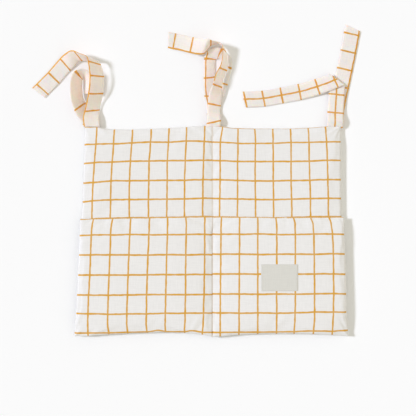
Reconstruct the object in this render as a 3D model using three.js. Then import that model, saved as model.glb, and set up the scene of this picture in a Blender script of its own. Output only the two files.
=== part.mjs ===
// Padded crib organizer lying on its back: one quilted panel, two wide pockets and three pairs of ties.
// Millimetres. X runs across the organizer, Y towards the ties, Z up from the surface it lies on.
// The origin is the centre of the flat back.
import * as THREE from 'three';

// Panel
const panelTopWidth = 490;      // sewn width at the top edge
const panelBottomWidth = 514;   // sewn width at the bottom edge
const panelHeight = 400;        // top edge to bottom edge, at the seams
const edgeScallop = 5;          // how far the edges are drawn in between the seams
const panelThickness = 13;      // back to front, where the wadding is full
const edgeSeamHeight = 7;       // height of the outer seam above the surface below
const rimRound = 12;            // width of the rounded rim
const coverThickness = 0.8;     // cotton cloth with its turned seam
const seamGap = 1.1;            // between two cloths at a seam, where the thread lies
const layerGap = 0.3;           // between pieces that touch
const seamSoftness = 9;         // half width of the valley along the centre seam
const backFlatStart = 12;       // the back is flat from here inwards

// Pockets
const mouthY = 27.5;            // height of the pocket mouths above the centre
const pocketOverhang = 3;       // the pockets are this much wider and longer than the panel
const pocketGape = 5.2;         // room inside a resting pocket
const pocketPadding = 3;        // wadding of a pocket wall
const gapeSpread = 75;          // width over which a pocket wall rises from its seams
const gapeRise = 40;            // the same, up from the bottom seam
const centreClearance = 1.4;    // centre of the seam to the edge of a pocket

// Threads
const threadThickness = 0.5;
const centreThreadWidth = 1;
const edgeThreadInset = 0.5;

// Label
const labelWidth = 71;
const labelHeight = 52;
const labelCentreX = 129;
const labelCentreY = -90.5;
const labelThickness = 1;
const labelCorner = 1.5;
const labelStitchInset = 3;
const labelStitchWidth = 0.8;

// Ties
const tieWidth = 31;
const tieThickness = 1.6;
const tieGap = 0.6;             // between the two ties of a pair, at their root
const rootGap = 0.5;            // between the top edge and the ties
const leftTieInset = 14;        // top left corner to the middle of the left ties
const rightTieInset = 10;       // top right corner to the middle of the right ties
const middleTieX = 2;           // the middle ties sit just right of the centre seam
const stepsPerSpan = 2;
const squareSection = 90;       // angle of a section to the tie's length, unless a stop gives another

// Mesh density
const rimShares = [0, 0.18, 0.5, 1];
const seamShares = [1 / 3, 1, 2];
const panelCells = 5;
const panelRows = 9;
const pocketRows = 5;

const halfHeight = panelHeight / 2;
const meanHalfWidth = (panelTopWidth + panelBottomWidth) / 4;
const rimLevel = edgeSeamHeight + seamGap / 2 + coverThickness;

const materials = {
  printedCotton: new THREE.MeshStandardMaterial({ color: 0xf4f1ea, roughness: 0.9, metalness: 0 }),
  plainCotton: new THREE.MeshStandardMaterial({ color: 0xf2efe8, roughness: 0.92, metalness: 0 }),
  wadding: new THREE.MeshStandardMaterial({ color: 0xfbfbf9, roughness: 1, metalness: 0 }),
  thread: new THREE.MeshStandardMaterial({ color: 0xf0ede5, roughness: 0.8, metalness: 0 }),
  label: new THREE.MeshStandardMaterial({ color: 0xe0dfd9, roughness: 0.85, metalness: 0 }),
};

const organizer = new THREE.Group();

function addPiece(name, geometry, material) {
  const mesh = new THREE.Mesh(geometry, material);
  mesh.name = name;
  organizer.add(mesh);
}

// Shape of the cloth: u runs from -1 to 1 across the panel, v from -1 to 1 up it
function clothPoint(u, v) {
  const halfWidth = meanHalfWidth + (v * (panelTopWidth - panelBottomWidth)) / 4;
  const drawnIn = edgeScallop * Math.sin(Math.PI * u) ** 2;
  return [u * halfWidth, v * (halfHeight - drawnIn)];
}

function smoothStep(value, from, to) {
  const t = Math.min(Math.max((value - from) / (to - from), 0), 1);
  return t * t * (3 - 2 * t);
}

// Share of the full thickness at a distance from a rounded edge: a quarter of an ellipse
function roundedRise(distance, radius) {
  const inward = 1 - Math.min(Math.max(distance / radius, 0), 1);
  return Math.sqrt(1 - inward * inward);
}

function sideDistance(u) {
  return (1 - Math.abs(u)) * meanHalfWidth;
}

function endDistance(v) {
  return (1 - Math.abs(v)) * halfHeight;
}

function fullness(u, v, radius) {
  return roundedRise(sideDistance(u), radius) * roundedRise(endDistance(v), radius);
}

function seamPinch(u) {
  return 1 - Math.exp(-(((u * meanHalfWidth) / seamSoftness) ** 2));
}

function frontTop(u, v) {
  return rimLevel + (panelThickness - rimLevel) * fullness(u, v, rimRound) * seamPinch(u);
}

function backBottom(u, v) {
  const raised = edgeSeamHeight - seamGap / 2 - coverThickness;
  return raised * (1 - fullness(u, v, backFlatStart));
}

// Pocket walls: the lining lies on the panel at its seams and stands off it between them
const mouthV = mouthY / halfHeight;

function mouthDistance(v) {
  return (mouthV - v) * halfHeight;
}

function liningBottom(u, v) {
  const fromCentre = Math.abs(u) * meanHalfWidth;
  const across = smoothStep(fromCentre, centreClearance, gapeSpread)
    * smoothStep(sideDistance(u), 0, gapeSpread);
  return frontTop(u, v) + layerGap + pocketGape * across * smoothStep(endDistance(v), 0, gapeRise);
}

function wallSpace(u, v) {
  const across = roundedRise(sideDistance(u), rimRound) * seamPinch(u);
  const along = roundedRise(endDistance(v), rimRound) * roundedRise(mouthDistance(v), rimRound);
  return seamGap + pocketPadding * across * along;
}

function faceBottom(u, v) {
  return liningBottom(u, v) + coverThickness + wallSpace(u, v);
}

// Closed slab between two heights over a grid of cloth lines
function slab(uLines, vLines, bottomAt, topAt) {
  const columns = uLines.length;
  const rows = vLines.length;
  const positions = [];
  for (const heightAt of [bottomAt, topAt]) {
    for (const v of vLines) {
      for (const u of uLines) {
        const [x, y] = clothPoint(u, v);
        positions.push(x, y, heightAt(u, v));
      }
    }
  }
  const layer = columns * rows;
  const faces = [];
  for (let row = 0; row + 1 < rows; row += 1) {
    for (let column = 0; column + 1 < columns; column += 1) {
      const a = row * columns + column;
      const b = a + 1;
      const c = a + columns;
      const d = c + 1;
      faces.push(a, d, b, a, c, d);
      faces.push(layer + a, layer + b, layer + d, layer + a, layer + d, layer + c);
    }
  }
  const rim = [];
  for (let column = 0; column + 1 < columns; column += 1) rim.push(column);
  for (let row = 0; row + 1 < rows; row += 1) rim.push(row * columns + columns - 1);
  for (let column = columns - 1; column > 0; column -= 1) rim.push((rows - 1) * columns + column);
  for (let row = rows - 1; row > 0; row -= 1) rim.push(row * columns);
  rim.forEach((from, index) => {
    const to = rim[(index + 1) % rim.length];
    faces.push(from, to, layer + to, from, layer + to, layer + from);
  });
  return closedGeometry(positions, faces);
}

// Closed body with its faces turned outwards, whichever way its sections were listed
function closedGeometry(positions, faces) {
  const corner = (index) => new THREE.Vector3().fromArray(positions, index * 3);
  let volume = 0;
  for (let face = 0; face < faces.length; face += 3) {
    const crossed = corner(faces[face + 1]).cross(corner(faces[face + 2]));
    volume += corner(faces[face]).dot(crossed);
  }
  if (volume < 0) faces.reverse();
  const geometry = new THREE.BufferGeometry();
  geometry.setAttribute('position', new THREE.Float32BufferAttribute(positions, 3));
  geometry.setIndex(faces);
  geometry.computeVertexNormals();
  return geometry;
}

// Bar of rectangular section through a list of rings of four corners, closed on itself or capped
function bar(rings, isLoop) {
  const corners = rings[0].length;
  const positions = rings.flat(2);
  const faces = [];
  const spans = isLoop ? rings.length : rings.length - 1;
  for (let span = 0; span < spans; span += 1) {
    const here = span * corners;
    const next = ((span + 1) % rings.length) * corners;
    for (let side = 0; side < corners; side += 1) {
      const other = (side + 1) % corners;
      faces.push(here + side, here + other, next + other, here + side, next + other, next + side);
    }
  }
  if (!isLoop) {
    const last = (rings.length - 1) * corners;
    faces.push(0, 2, 1, 0, 3, 2);
    faces.push(last, last + 1, last + 2, last, last + 2, last + 3);
  }
  return closedGeometry(positions, faces);
}

// Grid lines: close together in the rims and beside the centre seam
function evenLines(from, to, cells) {
  return Array.from({ length: cells + 1 }, (_, index) => from + ((to - from) * index) / cells);
}

const rimU = rimShares.map((share) => 1 - (share * rimRound) / meanHalfWidth);
const rimV = rimShares.map((share) => 1 - (share * rimRound) / halfHeight);
const seamU = seamShares.map((share) => (share * seamSoftness) / meanHalfWidth);
const innerU = seamU[seamU.length - 1];
const outerU = rimU[rimU.length - 1];
const rightU = [...seamU.slice(0, -1), ...evenLines(innerU, outerU, panelCells), ...rimU.slice(0, -1).reverse()];
const panelU = [...rightU.map((u) => -u).reverse(), 0, ...rightU];
const innerV = rimV[rimV.length - 1];
const panelV = [
  ...rimV.slice(0, -1).map((v) => -v),
  ...evenLines(-innerV, innerV, panelRows),
  ...rimV.slice(0, -1).reverse(),
];
const inside = (lines) => lines.slice(1, -1);

// Panel: two covers sewn round the edge, with wadding between them
addPiece(
  'back_cover',
  slab(panelU, panelV, backBottom, (u, v) => backBottom(u, v) + coverThickness),
  materials.plainCotton,
);
addPiece(
  'panel_wadding',
  slab(
    inside(panelU),
    inside(panelV),
    (u, v) => backBottom(u, v) + coverThickness + layerGap,
    (u, v) => frontTop(u, v) - coverThickness - layerGap,
  ),
  materials.wadding,
);
addPiece(
  'front_cover',
  slab(panelU, panelV, (u, v) => frontTop(u, v) - coverThickness, frontTop),
  materials.printedCotton,
);

// Thread of the outer seam: an unbroken loop between the two covers
function edgeThread() {
  const corners = [];
  panelU.slice(0, -1).forEach((u) => corners.push([u, -1]));
  panelV.slice(0, -1).forEach((v) => corners.push([1, v]));
  panelU.slice(1).reverse().forEach((u) => corners.push([u, 1]));
  panelV.slice(1).reverse().forEach((v) => corners.push([-1, v]));
  const at = (u, v, inset) => {
    const limitU = 1 - inset / meanHalfWidth;
    const limitV = 1 - inset / halfHeight;
    return clothPoint(
      THREE.MathUtils.clamp(u, -limitU, limitU),
      THREE.MathUtils.clamp(v, -limitV, limitV),
    );
  };
  const low = edgeSeamHeight - threadThickness / 2;
  const high = edgeSeamHeight + threadThickness / 2;
  return bar(corners.map(([u, v]) => {
    const outer = at(u, v, edgeThreadInset);
    const inner = at(u, v, edgeThreadInset + threadThickness);
    return [[...outer, low], [...outer, high], [...inner, high], [...inner, low]];
  }), true);
}
addPiece('edge_seam_thread', edgeThread(), materials.thread);

// Thread of the centre seam, in the valley that it pulls into the front
const centreLow = rimLevel + layerGap;
const centreHigh = centreLow + threadThickness;
const centreReach = halfHeight - edgeThreadInset - threadThickness;
addPiece(
  'centre_seam_thread',
  bar([-centreReach, centreReach].map((y) => [
    [-centreThreadWidth / 2, y, centreLow],
    [-centreThreadWidth / 2, y, centreHigh],
    [centreThreadWidth / 2, y, centreHigh],
    [centreThreadWidth / 2, y, centreLow],
  ]), false),
  materials.thread,
);

// One pocket wall: lining, wadding, face and the thread of its mouth. side is -1 for left, 1 for right
const pocketEndV = -1 - pocketOverhang / halfHeight;
const mouthLines = rimShares.map((share) => mouthV - (share * rimRound) / halfHeight);
const pocketV = [
  pocketEndV,
  ...rimV.slice(0, -1).map((v) => -v),
  ...evenLines(-innerV, mouthLines[mouthLines.length - 1], pocketRows),
  ...mouthLines.slice(0, -1).reverse(),
];
const pocketU = [centreClearance / meanHalfWidth, ...rightU, 1 + pocketOverhang / meanHalfWidth];

function addPocket(prefix, side) {
  const across = side > 0 ? pocketU : pocketU.map((u) => -u).reverse();
  const padded = side > 0 ? pocketU.slice(1, -2) : pocketU.slice(1, -2).map((u) => -u).reverse();
  const liningTop = (u, v) => liningBottom(u, v) + coverThickness;
  addPiece(`${prefix}_pocket_lining`, slab(across, pocketV, liningBottom, liningTop), materials.plainCotton);
  addPiece(
    `${prefix}_pocket_wadding`,
    slab(
      padded,
      pocketV.slice(2, -1),
      (u, v) => liningTop(u, v) + layerGap,
      (u, v) => faceBottom(u, v) - layerGap,
    ),
    materials.wadding,
  );
  addPiece(
    `${prefix}_pocket_face`,
    slab(across, pocketV, faceBottom, (u, v) => faceBottom(u, v) + coverThickness),
    materials.printedCotton,
  );
  const nearV = mouthV - edgeThreadInset / halfHeight;
  const farV = nearV - threadThickness / halfHeight;
  const rings = across.map((u) => {
    const low = liningTop(u, mouthV) + layerGap;
    const near = clothPoint(u, nearV);
    const far = clothPoint(u, farV);
    const high = low + threadThickness;
    return [[...far, low], [...far, high], [...near, high], [...near, low]];
  });
  addPiece(`${prefix}_mouth_thread`, bar(rings, false), materials.thread);
}
addPocket('left', -1);
addPocket('right', 1);

// Label on the right pocket, bare, sewn down round its edge
const labelU = labelCentreX / meanHalfWidth;
const labelV = labelCentreY / halfHeight;
const labelLevel = faceBottom(labelU, labelV) + coverThickness + layerGap;

function roundedRectangle(width, height, corner) {
  const shape = new THREE.Shape();
  const x = width / 2;
  const y = height / 2;
  shape.moveTo(x - corner, -y);
  shape.absarc(x - corner, -y + corner, corner, -Math.PI / 2, 0);
  shape.absarc(x - corner, y - corner, corner, 0, Math.PI / 2);
  shape.absarc(-x + corner, y - corner, corner, Math.PI / 2, Math.PI);
  shape.absarc(-x + corner, -y + corner, corner, Math.PI, Math.PI * 1.5);
  return shape;
}

function flatPlate(shape, thickness, level) {
  const geometry = new THREE.ExtrudeGeometry(shape, { depth: thickness, bevelEnabled: false, curveSegments: 3 });
  geometry.translate(labelCentreX, labelCentreY, level);
  return geometry;
}

addPiece(
  'label',
  flatPlate(roundedRectangle(labelWidth, labelHeight, labelCorner), labelThickness, labelLevel),
  materials.label,
);
const stitchOutline = roundedRectangle(
  labelWidth - 2 * labelStitchInset,
  labelHeight - 2 * labelStitchInset,
  labelCorner,
);
stitchOutline.holes.push(roundedRectangle(
  labelWidth - 2 * labelStitchInset - 2 * labelStitchWidth,
  labelHeight - 2 * labelStitchInset - 2 * labelStitchWidth,
  labelCorner / 2,
));
addPiece(
  'label_thread',
  flatPlate(stitchOutline, threadThickness, labelLevel + labelThickness + layerGap),
  materials.thread,
);

// Ties. Each stop is the middle of the tie: across and along from its root, height above the surface,
// then the heading of its right-hand edge in plan and how far that edge is tipped up, in degrees.
// The first stop is the root, at the height where the tie leaves the top seam. Where the tie folds over on
// the slant, the stops lie along the fold and a sixth value gives their angle to the tie's length. Where
// the tie is curled along its length, a seventh value gives the share of its width that is left.
const backTieLevel = edgeSeamHeight - (tieThickness + tieGap) / 2;
const frontTieLevel = edgeSeamHeight + (tieThickness + tieGap) / 2;
const leftTieX = leftTieInset - panelTopWidth / 2;
const rightTieX = panelTopWidth / 2 - rightTieInset;

const leftFrontStops = [
  [0, 0, 0, 0, 0], [-1, 15.5, 10.9, 2, -10], [1, 30.5, 10.8, 3, -28], [5, 47.5, 12.4, 2, -31],
  [9, 64.5, 17, 0, -28], [11, 81.5, 20.5, 0, -30], [11, 97.5, 21.5, -2, -33],
  [8, 113.5, 21.5, -8, -38], [3, 126.5, 21.5, -16, -46], [-13, 130.5, 19, -38, -50],
  [-30, 133.5, 14.5, -54, -42], [-42, 126.5, 8.5, -53, -22], [-52, 118.5, 3, -49, -4],
  [-75, 92.5, 1.5, -45, 0], [-91, 76.5, 1.4, -44, 0], [-103, 64.5, 1.8, -38, 0],
];
const leftBackStops = [
  [0, 0, 0, 0, 0], [-9, 16.5, 5.6, 14, -7], [-19, 32.5, 9.6, 22, -30], [-27, 50.5, 12.4, 12, -44],
  [-29.3, 69.5, 12.7, 0, -47], [-28.7, 84.5, 12.9, -14, -49], [-25.6, 95, 13.6, -38, -54],
  [-18.4, 99.3, 13.6, -86, -55], [-11, 97, 12.8, -130, -53, 90, 0.97],
  [-7, 86.5, 10.9, -168, -47, 90, 0.86], [-6, 73, 9.7, -180, -41, 90, 0.86],
  [-6, 62, 8, -184, -35, 90, 0.8],
];
const middleFrontStops = [
  [0, 0, 0, 0, 0, 90, 0.9], [1, 9.5, 10.6, 4, -3, 90, 0.88], [1.2, 27.5, 6.6, -4, -14, 90, 0.84],
  [2, 42, 7.6, -9, -19, 90, 0.86], [4, 58, 11.2, -15, -22, 90, 0.87],
  [8, 76.5, 15, -20, -43, 90, 0.85], [11.8, 95, 14.4, -24, -50, 90, 0.82],
  [20.6, 113, 12.8, -28, -50, 90, 0.78], [22, 128, 12.8, -28, -57, 90, 0.7],
  [21.6, 141.5, 13.6, -28, -63, 90, 0.68], [18.2, 152.6, 14, -42, -76, 90, 0.68],
  [10.7, 157.8, 14.6, -62, -84, 90, 0.68], [2, 158.8, 15.4, -80, -80, 90, 0.7],
  [-4.6, 157.8, 18.2, -90, -72, 90, 0.76], [-10.3, 155.4, 20.5, -93, -50, 90, 0.92],
  [-17, 151.2, 19, -97, -25], [-26, 151.5, 15, -101, -16], [-42, 155.5, 8.5, -102, -5],
  [-60, 160.5, 4, -102, 0], [-74, 163.5, 1.6, -101, 0], [-87, 166.5, 1.6, -92, 0],
];
const middleBackStops = [
  [0, 0, 0, 0, 0, 90, 0.9], [0, 16.5, 3.4, 0, 0, 90, 0.8], [-1, 30, 1.7, 0, 0, 90, 0.76],
  [-2, 45, 1.6, 3, 0, 90, 0.78], [-5, 59.5, 1.8, 3, -2, 90, 0.8], [-7, 80, 2.8, 4, -8, 90, 0.78],
  [-7, 95, 3.6, 4, -12, 90, 0.77], [-7, 115, 4, 3, -15, 90, 0.77],
  [-6.5, 127.6, 4.4, -2, -16, 90, 0.77], [-2.7, 137.4, 4.6, -45, -15, 90, 0.76],
  [9.8, 140.2, 4.2, -102, -13, 90, 0.74], [17.2, 136.2, 2.1, -132, 0, 90, 0.56],
  [25, 127.5, 1.8, -165, 0, 90, 0.7], [24, 110.5, 1.8, -188, 0, 90, 0.71],
  [17.5, 89.5, 2.6, -194, 2, 90, 0.78], [12.5, 73.5, 3.9, -195, 3, 90, 0.81],
  [8.5, 60.5, 3.9, -195, 0, 90, 0.81],
];
const rightFrontStops = [
  [0, 0, 0, 0, 0], [0.4, 9.5, 10.4, -2, 0], [1.2, 27.5, 5.6, -5, 0], [3, 52.5, 5, -6, 0],
  [4, 72, 4.8, -6, 0], [5, 86.6, 5, -37.5, 0, 58.5], [5.1, 88.4, 5.6, -37.5, 0, 58.5],
  [4.6, 89.6, 6.9, -37.5, 0, 58.5], [3.4, 89.7, 8.2, -37.5, 0, 58.5], [1.6, 89.1, 8.8, -37.5, 0, 58.5],
  [-10.5, 84, 7.8, -68, 0], [-35, 75.5, 5, -72, 0], [-67, 66.4, 2.2, -78, 0],
  [-103, 59.5, 1.5, -79, 0], [-138, 53.5, 1.5, -79, 0], [-169, 52, 1.7, -78, 0],
  [-175, 52, 1.8, -78, 0],
];
const rightBackStops = [
  [0, 0, 0, 0, 0], [1, 9.5, 8, -2, 0], [3, 27.5, 3, -6, 0], [7.2, 51.5, 1.9, -9, 0],
  [12, 73.5, 1.4, -12, 0], [19.6, 109.5, 1.4, -13, 0], [26.8, 144.5, 1.4, -12, 0],
  [33, 178.5, 1.8, -14, 0], [35, 189.5, 2.2, -25, 0],
];

function addTie(name, rootX, rootLevel, stops) {
  const rootY = halfHeight + rootGap;
  const middles = stops.map(([x, y, z]) => new THREE.Vector3(rootX + x, rootY + y, z));
  middles[0].z = rootLevel;
  const path = new THREE.CatmullRomCurve3(middles, false, 'centripetal');
  const turnAt = (share, column, straight = 0) => {
    const place = share * (stops.length - 1);
    const before = Math.min(Math.floor(place), stops.length - 2);
    const from = stops[before][column] ?? straight;
    const to = stops[before + 1][column] ?? straight;
    return THREE.MathUtils.degToRad(THREE.MathUtils.lerp(from, to, place - before));
  };
  const steps = (stops.length - 1) * stepsPerSpan;
  const rings = [];
  for (let step = 0; step <= steps; step += 1) {
    const share = step / steps;
    const middle = path.getPoint(share);
    const heading = turnAt(share, 3);
    const tip = turnAt(share, 4);
    const curl = THREE.MathUtils.radToDeg(turnAt(share, 6, 1));
    const halfSpan = (curl * tieWidth) / 2 / Math.sin(turnAt(share, 5, squareSection));
    const across = new THREE.Vector3(
      Math.cos(tip) * Math.cos(heading),
      Math.cos(tip) * Math.sin(heading),
      Math.sin(tip),
    );
    const along = step === 0 ? new THREE.Vector3(0, 1, 0) : path.getTangent(share);
    const through = new THREE.Vector3().crossVectors(across, along).normalize();
    const corner = (side, face) => middle.clone()
      .addScaledVector(across, side * halfSpan)
      .addScaledVector(through, (face * tieThickness) / 2)
      .toArray();
    rings.push([corner(1, -1), corner(1, 1), corner(-1, 1), corner(-1, -1)]);
  }
  addPiece(name, bar(rings, false), materials.printedCotton);
}

addTie('left_back_tie', leftTieX, backTieLevel, leftBackStops);
addTie('left_front_tie', leftTieX, frontTieLevel, leftFrontStops);
addTie('middle_back_tie', middleTieX, backTieLevel, middleBackStops);
addTie('middle_front_tie', middleTieX, frontTieLevel, middleFrontStops);
addTie('right_back_tie', rightTieX, backTieLevel, rightBackStops);
addTie('right_front_tie', rightTieX, frontTieLevel, rightFrontStops);

export default organizer;
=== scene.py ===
"""Looks of a padded crib organizer: a quilted panel with two wide pockets and three pairs of cloth ties.

Metres, in the frame's own axes: X across the organizer, Y towards the ties, Z up from the surface it lies on.
"""

import logging
import math
from dataclasses import dataclass, field
from enum import Enum
from typing import Callable, Optional, Sequence

import bpy
import numpy as np
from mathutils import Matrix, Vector
from mathutils.bvhtree import BVHTree


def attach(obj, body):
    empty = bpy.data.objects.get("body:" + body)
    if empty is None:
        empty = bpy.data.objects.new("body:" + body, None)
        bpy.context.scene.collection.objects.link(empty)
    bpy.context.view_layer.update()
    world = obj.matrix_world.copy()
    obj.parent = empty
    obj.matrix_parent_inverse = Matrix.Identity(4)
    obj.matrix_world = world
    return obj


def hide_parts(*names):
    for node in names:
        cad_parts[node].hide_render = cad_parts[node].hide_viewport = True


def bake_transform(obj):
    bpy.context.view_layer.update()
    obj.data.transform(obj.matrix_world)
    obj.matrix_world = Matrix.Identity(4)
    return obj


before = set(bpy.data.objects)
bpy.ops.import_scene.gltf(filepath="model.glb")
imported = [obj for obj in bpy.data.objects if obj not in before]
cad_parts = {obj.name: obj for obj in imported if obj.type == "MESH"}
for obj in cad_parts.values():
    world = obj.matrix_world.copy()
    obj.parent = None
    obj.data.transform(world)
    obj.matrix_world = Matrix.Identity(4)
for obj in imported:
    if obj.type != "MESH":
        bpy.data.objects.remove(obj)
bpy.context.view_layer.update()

LOG = logging.getLogger("organizer")
MM = 0.001
SQUARE = 35.3 * MM    # side of a printed square on the flat cloth
ON_SEAM = 1e-4        # shares closer than this to a seam are on it
CLOTH = 0.7 * MM      # thickness of the covers' and pockets' cloth
THINNEST = 0.03       # share of it that is left at least, at a seam
PAINTED_CREASE_SHADE_REACH = 1.5 * MM     # how far the painted shade of the sewn crease reaches
OVERHEAD = 0.2        # a height above every piece, to look down from
UP_PANEL = np.array([0.0, 1.0, 0.0])  # the way in which the ties leave the top edge

Points = np.ndarray
Row = tuple[float, tuple[float, ...]]


# Small tools

def linear(hex_colour: str) -> tuple[float, float, float, float]:
    """Turns an sRGB hex colour into the linear colour that a shader socket takes.

    Args:
        hex_colour: six hex digits after a hash sign.

    Returns:
        Red, green and blue in linear light, and an alpha of 1.
    """
    values = [int(hex_colour[i:i + 2], 16) / 255 for i in (1, 3, 5)]
    light = [v / 12.92 if v <= 0.04045 else ((v + 0.055) / 1.055) ** 2.4 for v in values]
    return (*light, 1.0)


def add_node(tree: bpy.types.NodeTree, kind: str, inputs: Optional[dict] = None, **settings) -> bpy.types.Node:
    """Adds a node with its settings, and links or sets its inputs.

    Args:
        tree: the node tree of the material.
        kind: the node's type name.
        inputs: what each input gets, by its name or number: a socket to link from, or a value.
        settings: the node's own properties.

    Returns:
        The new node.
    """
    node = tree.nodes.new(kind)
    for key, value in settings.items():
        setattr(node, key, value)
    for key, value in (inputs or {}).items():
        if isinstance(value, bpy.types.NodeSocket):
            tree.links.new(value, node.inputs[key])
        else:
            node.inputs[key].default_value = value
    return node


def alone(piece: bpy.types.Object) -> None:
    """Selects one piece only, and makes it the one that the next operators work on."""
    bpy.ops.object.select_all(action="DESELECT")
    piece.select_set(True)
    bpy.context.view_layer.objects.active = piece


def read(items: bpy.types.bpy_prop_collection, key: str, width: int = 1, kind: type = float) -> Points:
    """Reads one property of a mesh's vertices, faces, corners or attribute values.

    Args:
        items: what has the property.
        key: the property's name.
        width: how many numbers each item has.
        kind: the type of the numbers.

    Returns:
        One number for each item, or one row of them.
    """
    found = np.zeros(len(items) * width, dtype=kind)
    items.foreach_get(key, found)
    return found.reshape(-1, width) if width > 1 else found


def coordinates(piece: bpy.types.Object) -> Points:
    """Reads a mesh's vertices as an array of points."""
    return read(piece.data.vertices, "co", 3)


def note(mesh: bpy.types.Mesh, key: str, kind: str, domain: str, values: Points) -> None:
    """Writes an attribute of plain numbers on a mesh.

    Args:
        mesh: where to write it.
        key: the attribute's name.
        kind: FLOAT or INT.
        domain: POINT or FACE.
        values: one number for each point or face.
    """
    layer = mesh.attributes.get(key) or mesh.attributes.new(key, kind, domain)
    layer.data.foreach_set("value", values.astype(np.float32 if kind == "FLOAT" else np.int32))


def noted(piece: bpy.types.Object, key: str) -> Points:
    """Reads an attribute of plain numbers from a piece's mesh."""
    return read(piece.data.attributes[key].data, "value")


def add_piece(name: str, points: Points, faces: Sequence[Sequence[int]]) -> bpy.types.Object:
    """Makes a piece from points and faces.

    Args:
        name: the piece's name.
        points: its points, one row each.
        faces: the numbers of each face's points.

    Returns:
        The new piece.
    """
    mesh = bpy.data.meshes.new(name)
    mesh.from_pydata(points.tolist(), [], faces)
    piece = bpy.data.objects.new(name, mesh)
    bpy.context.scene.collection.objects.link(piece)
    return piece


def edit_all(piece: bpy.types.Object, operator: Callable, **settings) -> None:
    """Runs one mesh operator on all of a piece.

    Args:
        piece: the mesh to change.
        operator: the operator, from bpy.ops.mesh.
        settings: the operator's own arguments.
    """
    alone(piece)
    bpy.ops.object.mode_set(mode="EDIT")
    bpy.ops.mesh.select_all(action="SELECT")
    operator(**settings)
    bpy.ops.object.mode_set(mode="OBJECT")


def grid_of(name: str, columns: int, rows: int) -> bpy.types.Object:
    """Adds a flat grid that reaches from -1 to 1 both ways.

    Args:
        name: the piece's name.
        columns: cells across.
        rows: cells up.

    Returns:
        The grid.
    """
    bpy.ops.object.select_all(action="DESELECT")
    bpy.ops.mesh.primitive_grid_add(x_subdivisions=columns, y_subdivisions=rows, size=2)
    grid = bpy.context.object
    grid.name = name
    return grid


def surface_of(piece: bpy.types.Object) -> BVHTree:
    """Makes a piece's surface, to find heights on."""
    return BVHTree.FromPolygons([tuple(p) for p in coordinates(piece)],
                                [tuple(p.vertices) for p in piece.data.polygons])


def surface_height(surface: BVHTree, x: float, y: float, otherwise: float) -> float:
    """Height of the topmost surface under a place.

    Args:
        surface: what to look for.
        x: place across.
        y: place up the organizer.
        otherwise: the height where nothing is found.

    Returns:
        The height.
    """
    hit = surface.ray_cast(Vector((x, y, OVERHEAD)), Vector((0, 0, -1)))[0]
    return hit.z if hit is not None else otherwise


def square_ring(count: int) -> Points:
    """Points round the square from -1 to 1.

    Args:
        count: points on each side.

    Returns:
        The points in order, right round.
    """
    share, one = np.linspace(-1, 1, count), np.ones(count)
    sides = ((share, -one), (one, share), (-share, one), (-one, -share))
    return np.concatenate([np.column_stack(side) for side in sides])


def place(piece: bpy.types.Object, points: Points) -> None:
    """Moves a mesh's vertices to an array of points."""
    piece.data.vertices.foreach_set("co", np.asarray(points, dtype=np.float32).ravel())
    piece.data.update()


def smooth_step(value: Points, start: float, end: float) -> Points:
    """Rises smoothly from 0 at start to 1 at end.

    Args:
        value: where to read it.
        start: where it leaves 0.
        end: where it reaches 1.

    Returns:
        Shares from 0 to 1.
    """
    t = np.clip((value - start) / (end - start), 0.0, 1.0)
    return t * t * (3 - 2 * t)


def rounded_rise(distance: Points, radius: float, power: float = 2.0) -> Points:
    """Height share at a distance from a rounded edge.

    Args:
        distance: how far inside the edge.
        radius: where the full height is reached.
        power: 2 for a quarter of an ellipse, and more for a fuller edge.

    Returns:
        Shares from 0 to 1.
    """
    inward = 1 - np.clip(distance / radius, 0.0, 1.0)
    return np.maximum(1 - inward ** power, 0.0) ** (1 / power)


def apply_modifier(piece: bpy.types.Object, kind: str, **settings) -> None:
    """Adds one modifier to a piece and applies it.

    Args:
        piece: the mesh to change.
        kind: the modifier's type name.
        settings: the modifier's own properties.
    """
    alone(piece)
    modifier = piece.modifiers.new(kind.title(), kind)
    for key, value in settings.items():
        setattr(modifier, key, value)
    bpy.ops.object.modifier_apply(modifier=modifier.name)


def copy_of(piece: bpy.types.Object, name: str) -> bpy.types.Object:
    """Copies a piece with a mesh of its own.

    Args:
        piece: what to copy.
        name: the copy's name.

    Returns:
        The copy.
    """
    other = piece.copy()
    other.data = piece.data.copy()
    other.name = name
    other.data.name = name
    bpy.context.scene.collection.objects.link(other)
    return other


def keep_faces(piece: bpy.types.Object, keep: Points) -> None:
    """Deletes all faces of a mesh but the chosen ones.

    Args:
        piece: the mesh to cut down.
        keep: one truth value for each face.
    """
    alone(piece)
    bpy.ops.object.mode_set(mode="EDIT")
    bpy.ops.mesh.select_mode(type="FACE")
    bpy.ops.mesh.select_all(action="DESELECT")
    bpy.ops.object.mode_set(mode="OBJECT")
    piece.data.polygons.foreach_set("select", ~keep)
    bpy.ops.object.mode_set(mode="EDIT")
    bpy.ops.mesh.delete(type="FACE")
    bpy.ops.object.mode_set(mode="OBJECT")


def face_centres(piece: bpy.types.Object) -> Points:
    """Reads the middle of each face."""
    return read(piece.data.polygons, "center", 3)


def shade_smooth(piece: bpy.types.Object) -> None:
    """Shades all of a mesh smooth."""
    piece.data.polygons.foreach_set("use_smooth", np.ones(len(piece.data.polygons), dtype=bool))
    piece.data.update()


def hermite(t: Points, start: Points, end: Points, leave: Points, arrive: Points) -> Points:
    """Eases from one value to the next.

    Args:
        t: share of the way, from 0 to 1.
        start: the first value.
        end: the last value.
        leave: the slope at the start.
        arrive: the slope at the end.

    Returns:
        The value at t.
    """
    return ((2 * t ** 3 - 3 * t ** 2 + 1) * start + (t ** 3 - 2 * t ** 2 + t) * leave
            + (3 * t ** 2 - 2 * t ** 3) * end + (t ** 3 - t ** 2) * arrive)


# Finishes

def new_material(name: str) -> tuple[bpy.types.Material, bpy.types.NodeTree]:
    """Makes an empty material.

    Args:
        name: the material's name.

    Returns:
        The material and its node tree.
    """
    material = bpy.data.materials.new(name)
    material.use_nodes = True
    material.node_tree.nodes.clear()
    return material, material.node_tree


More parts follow.
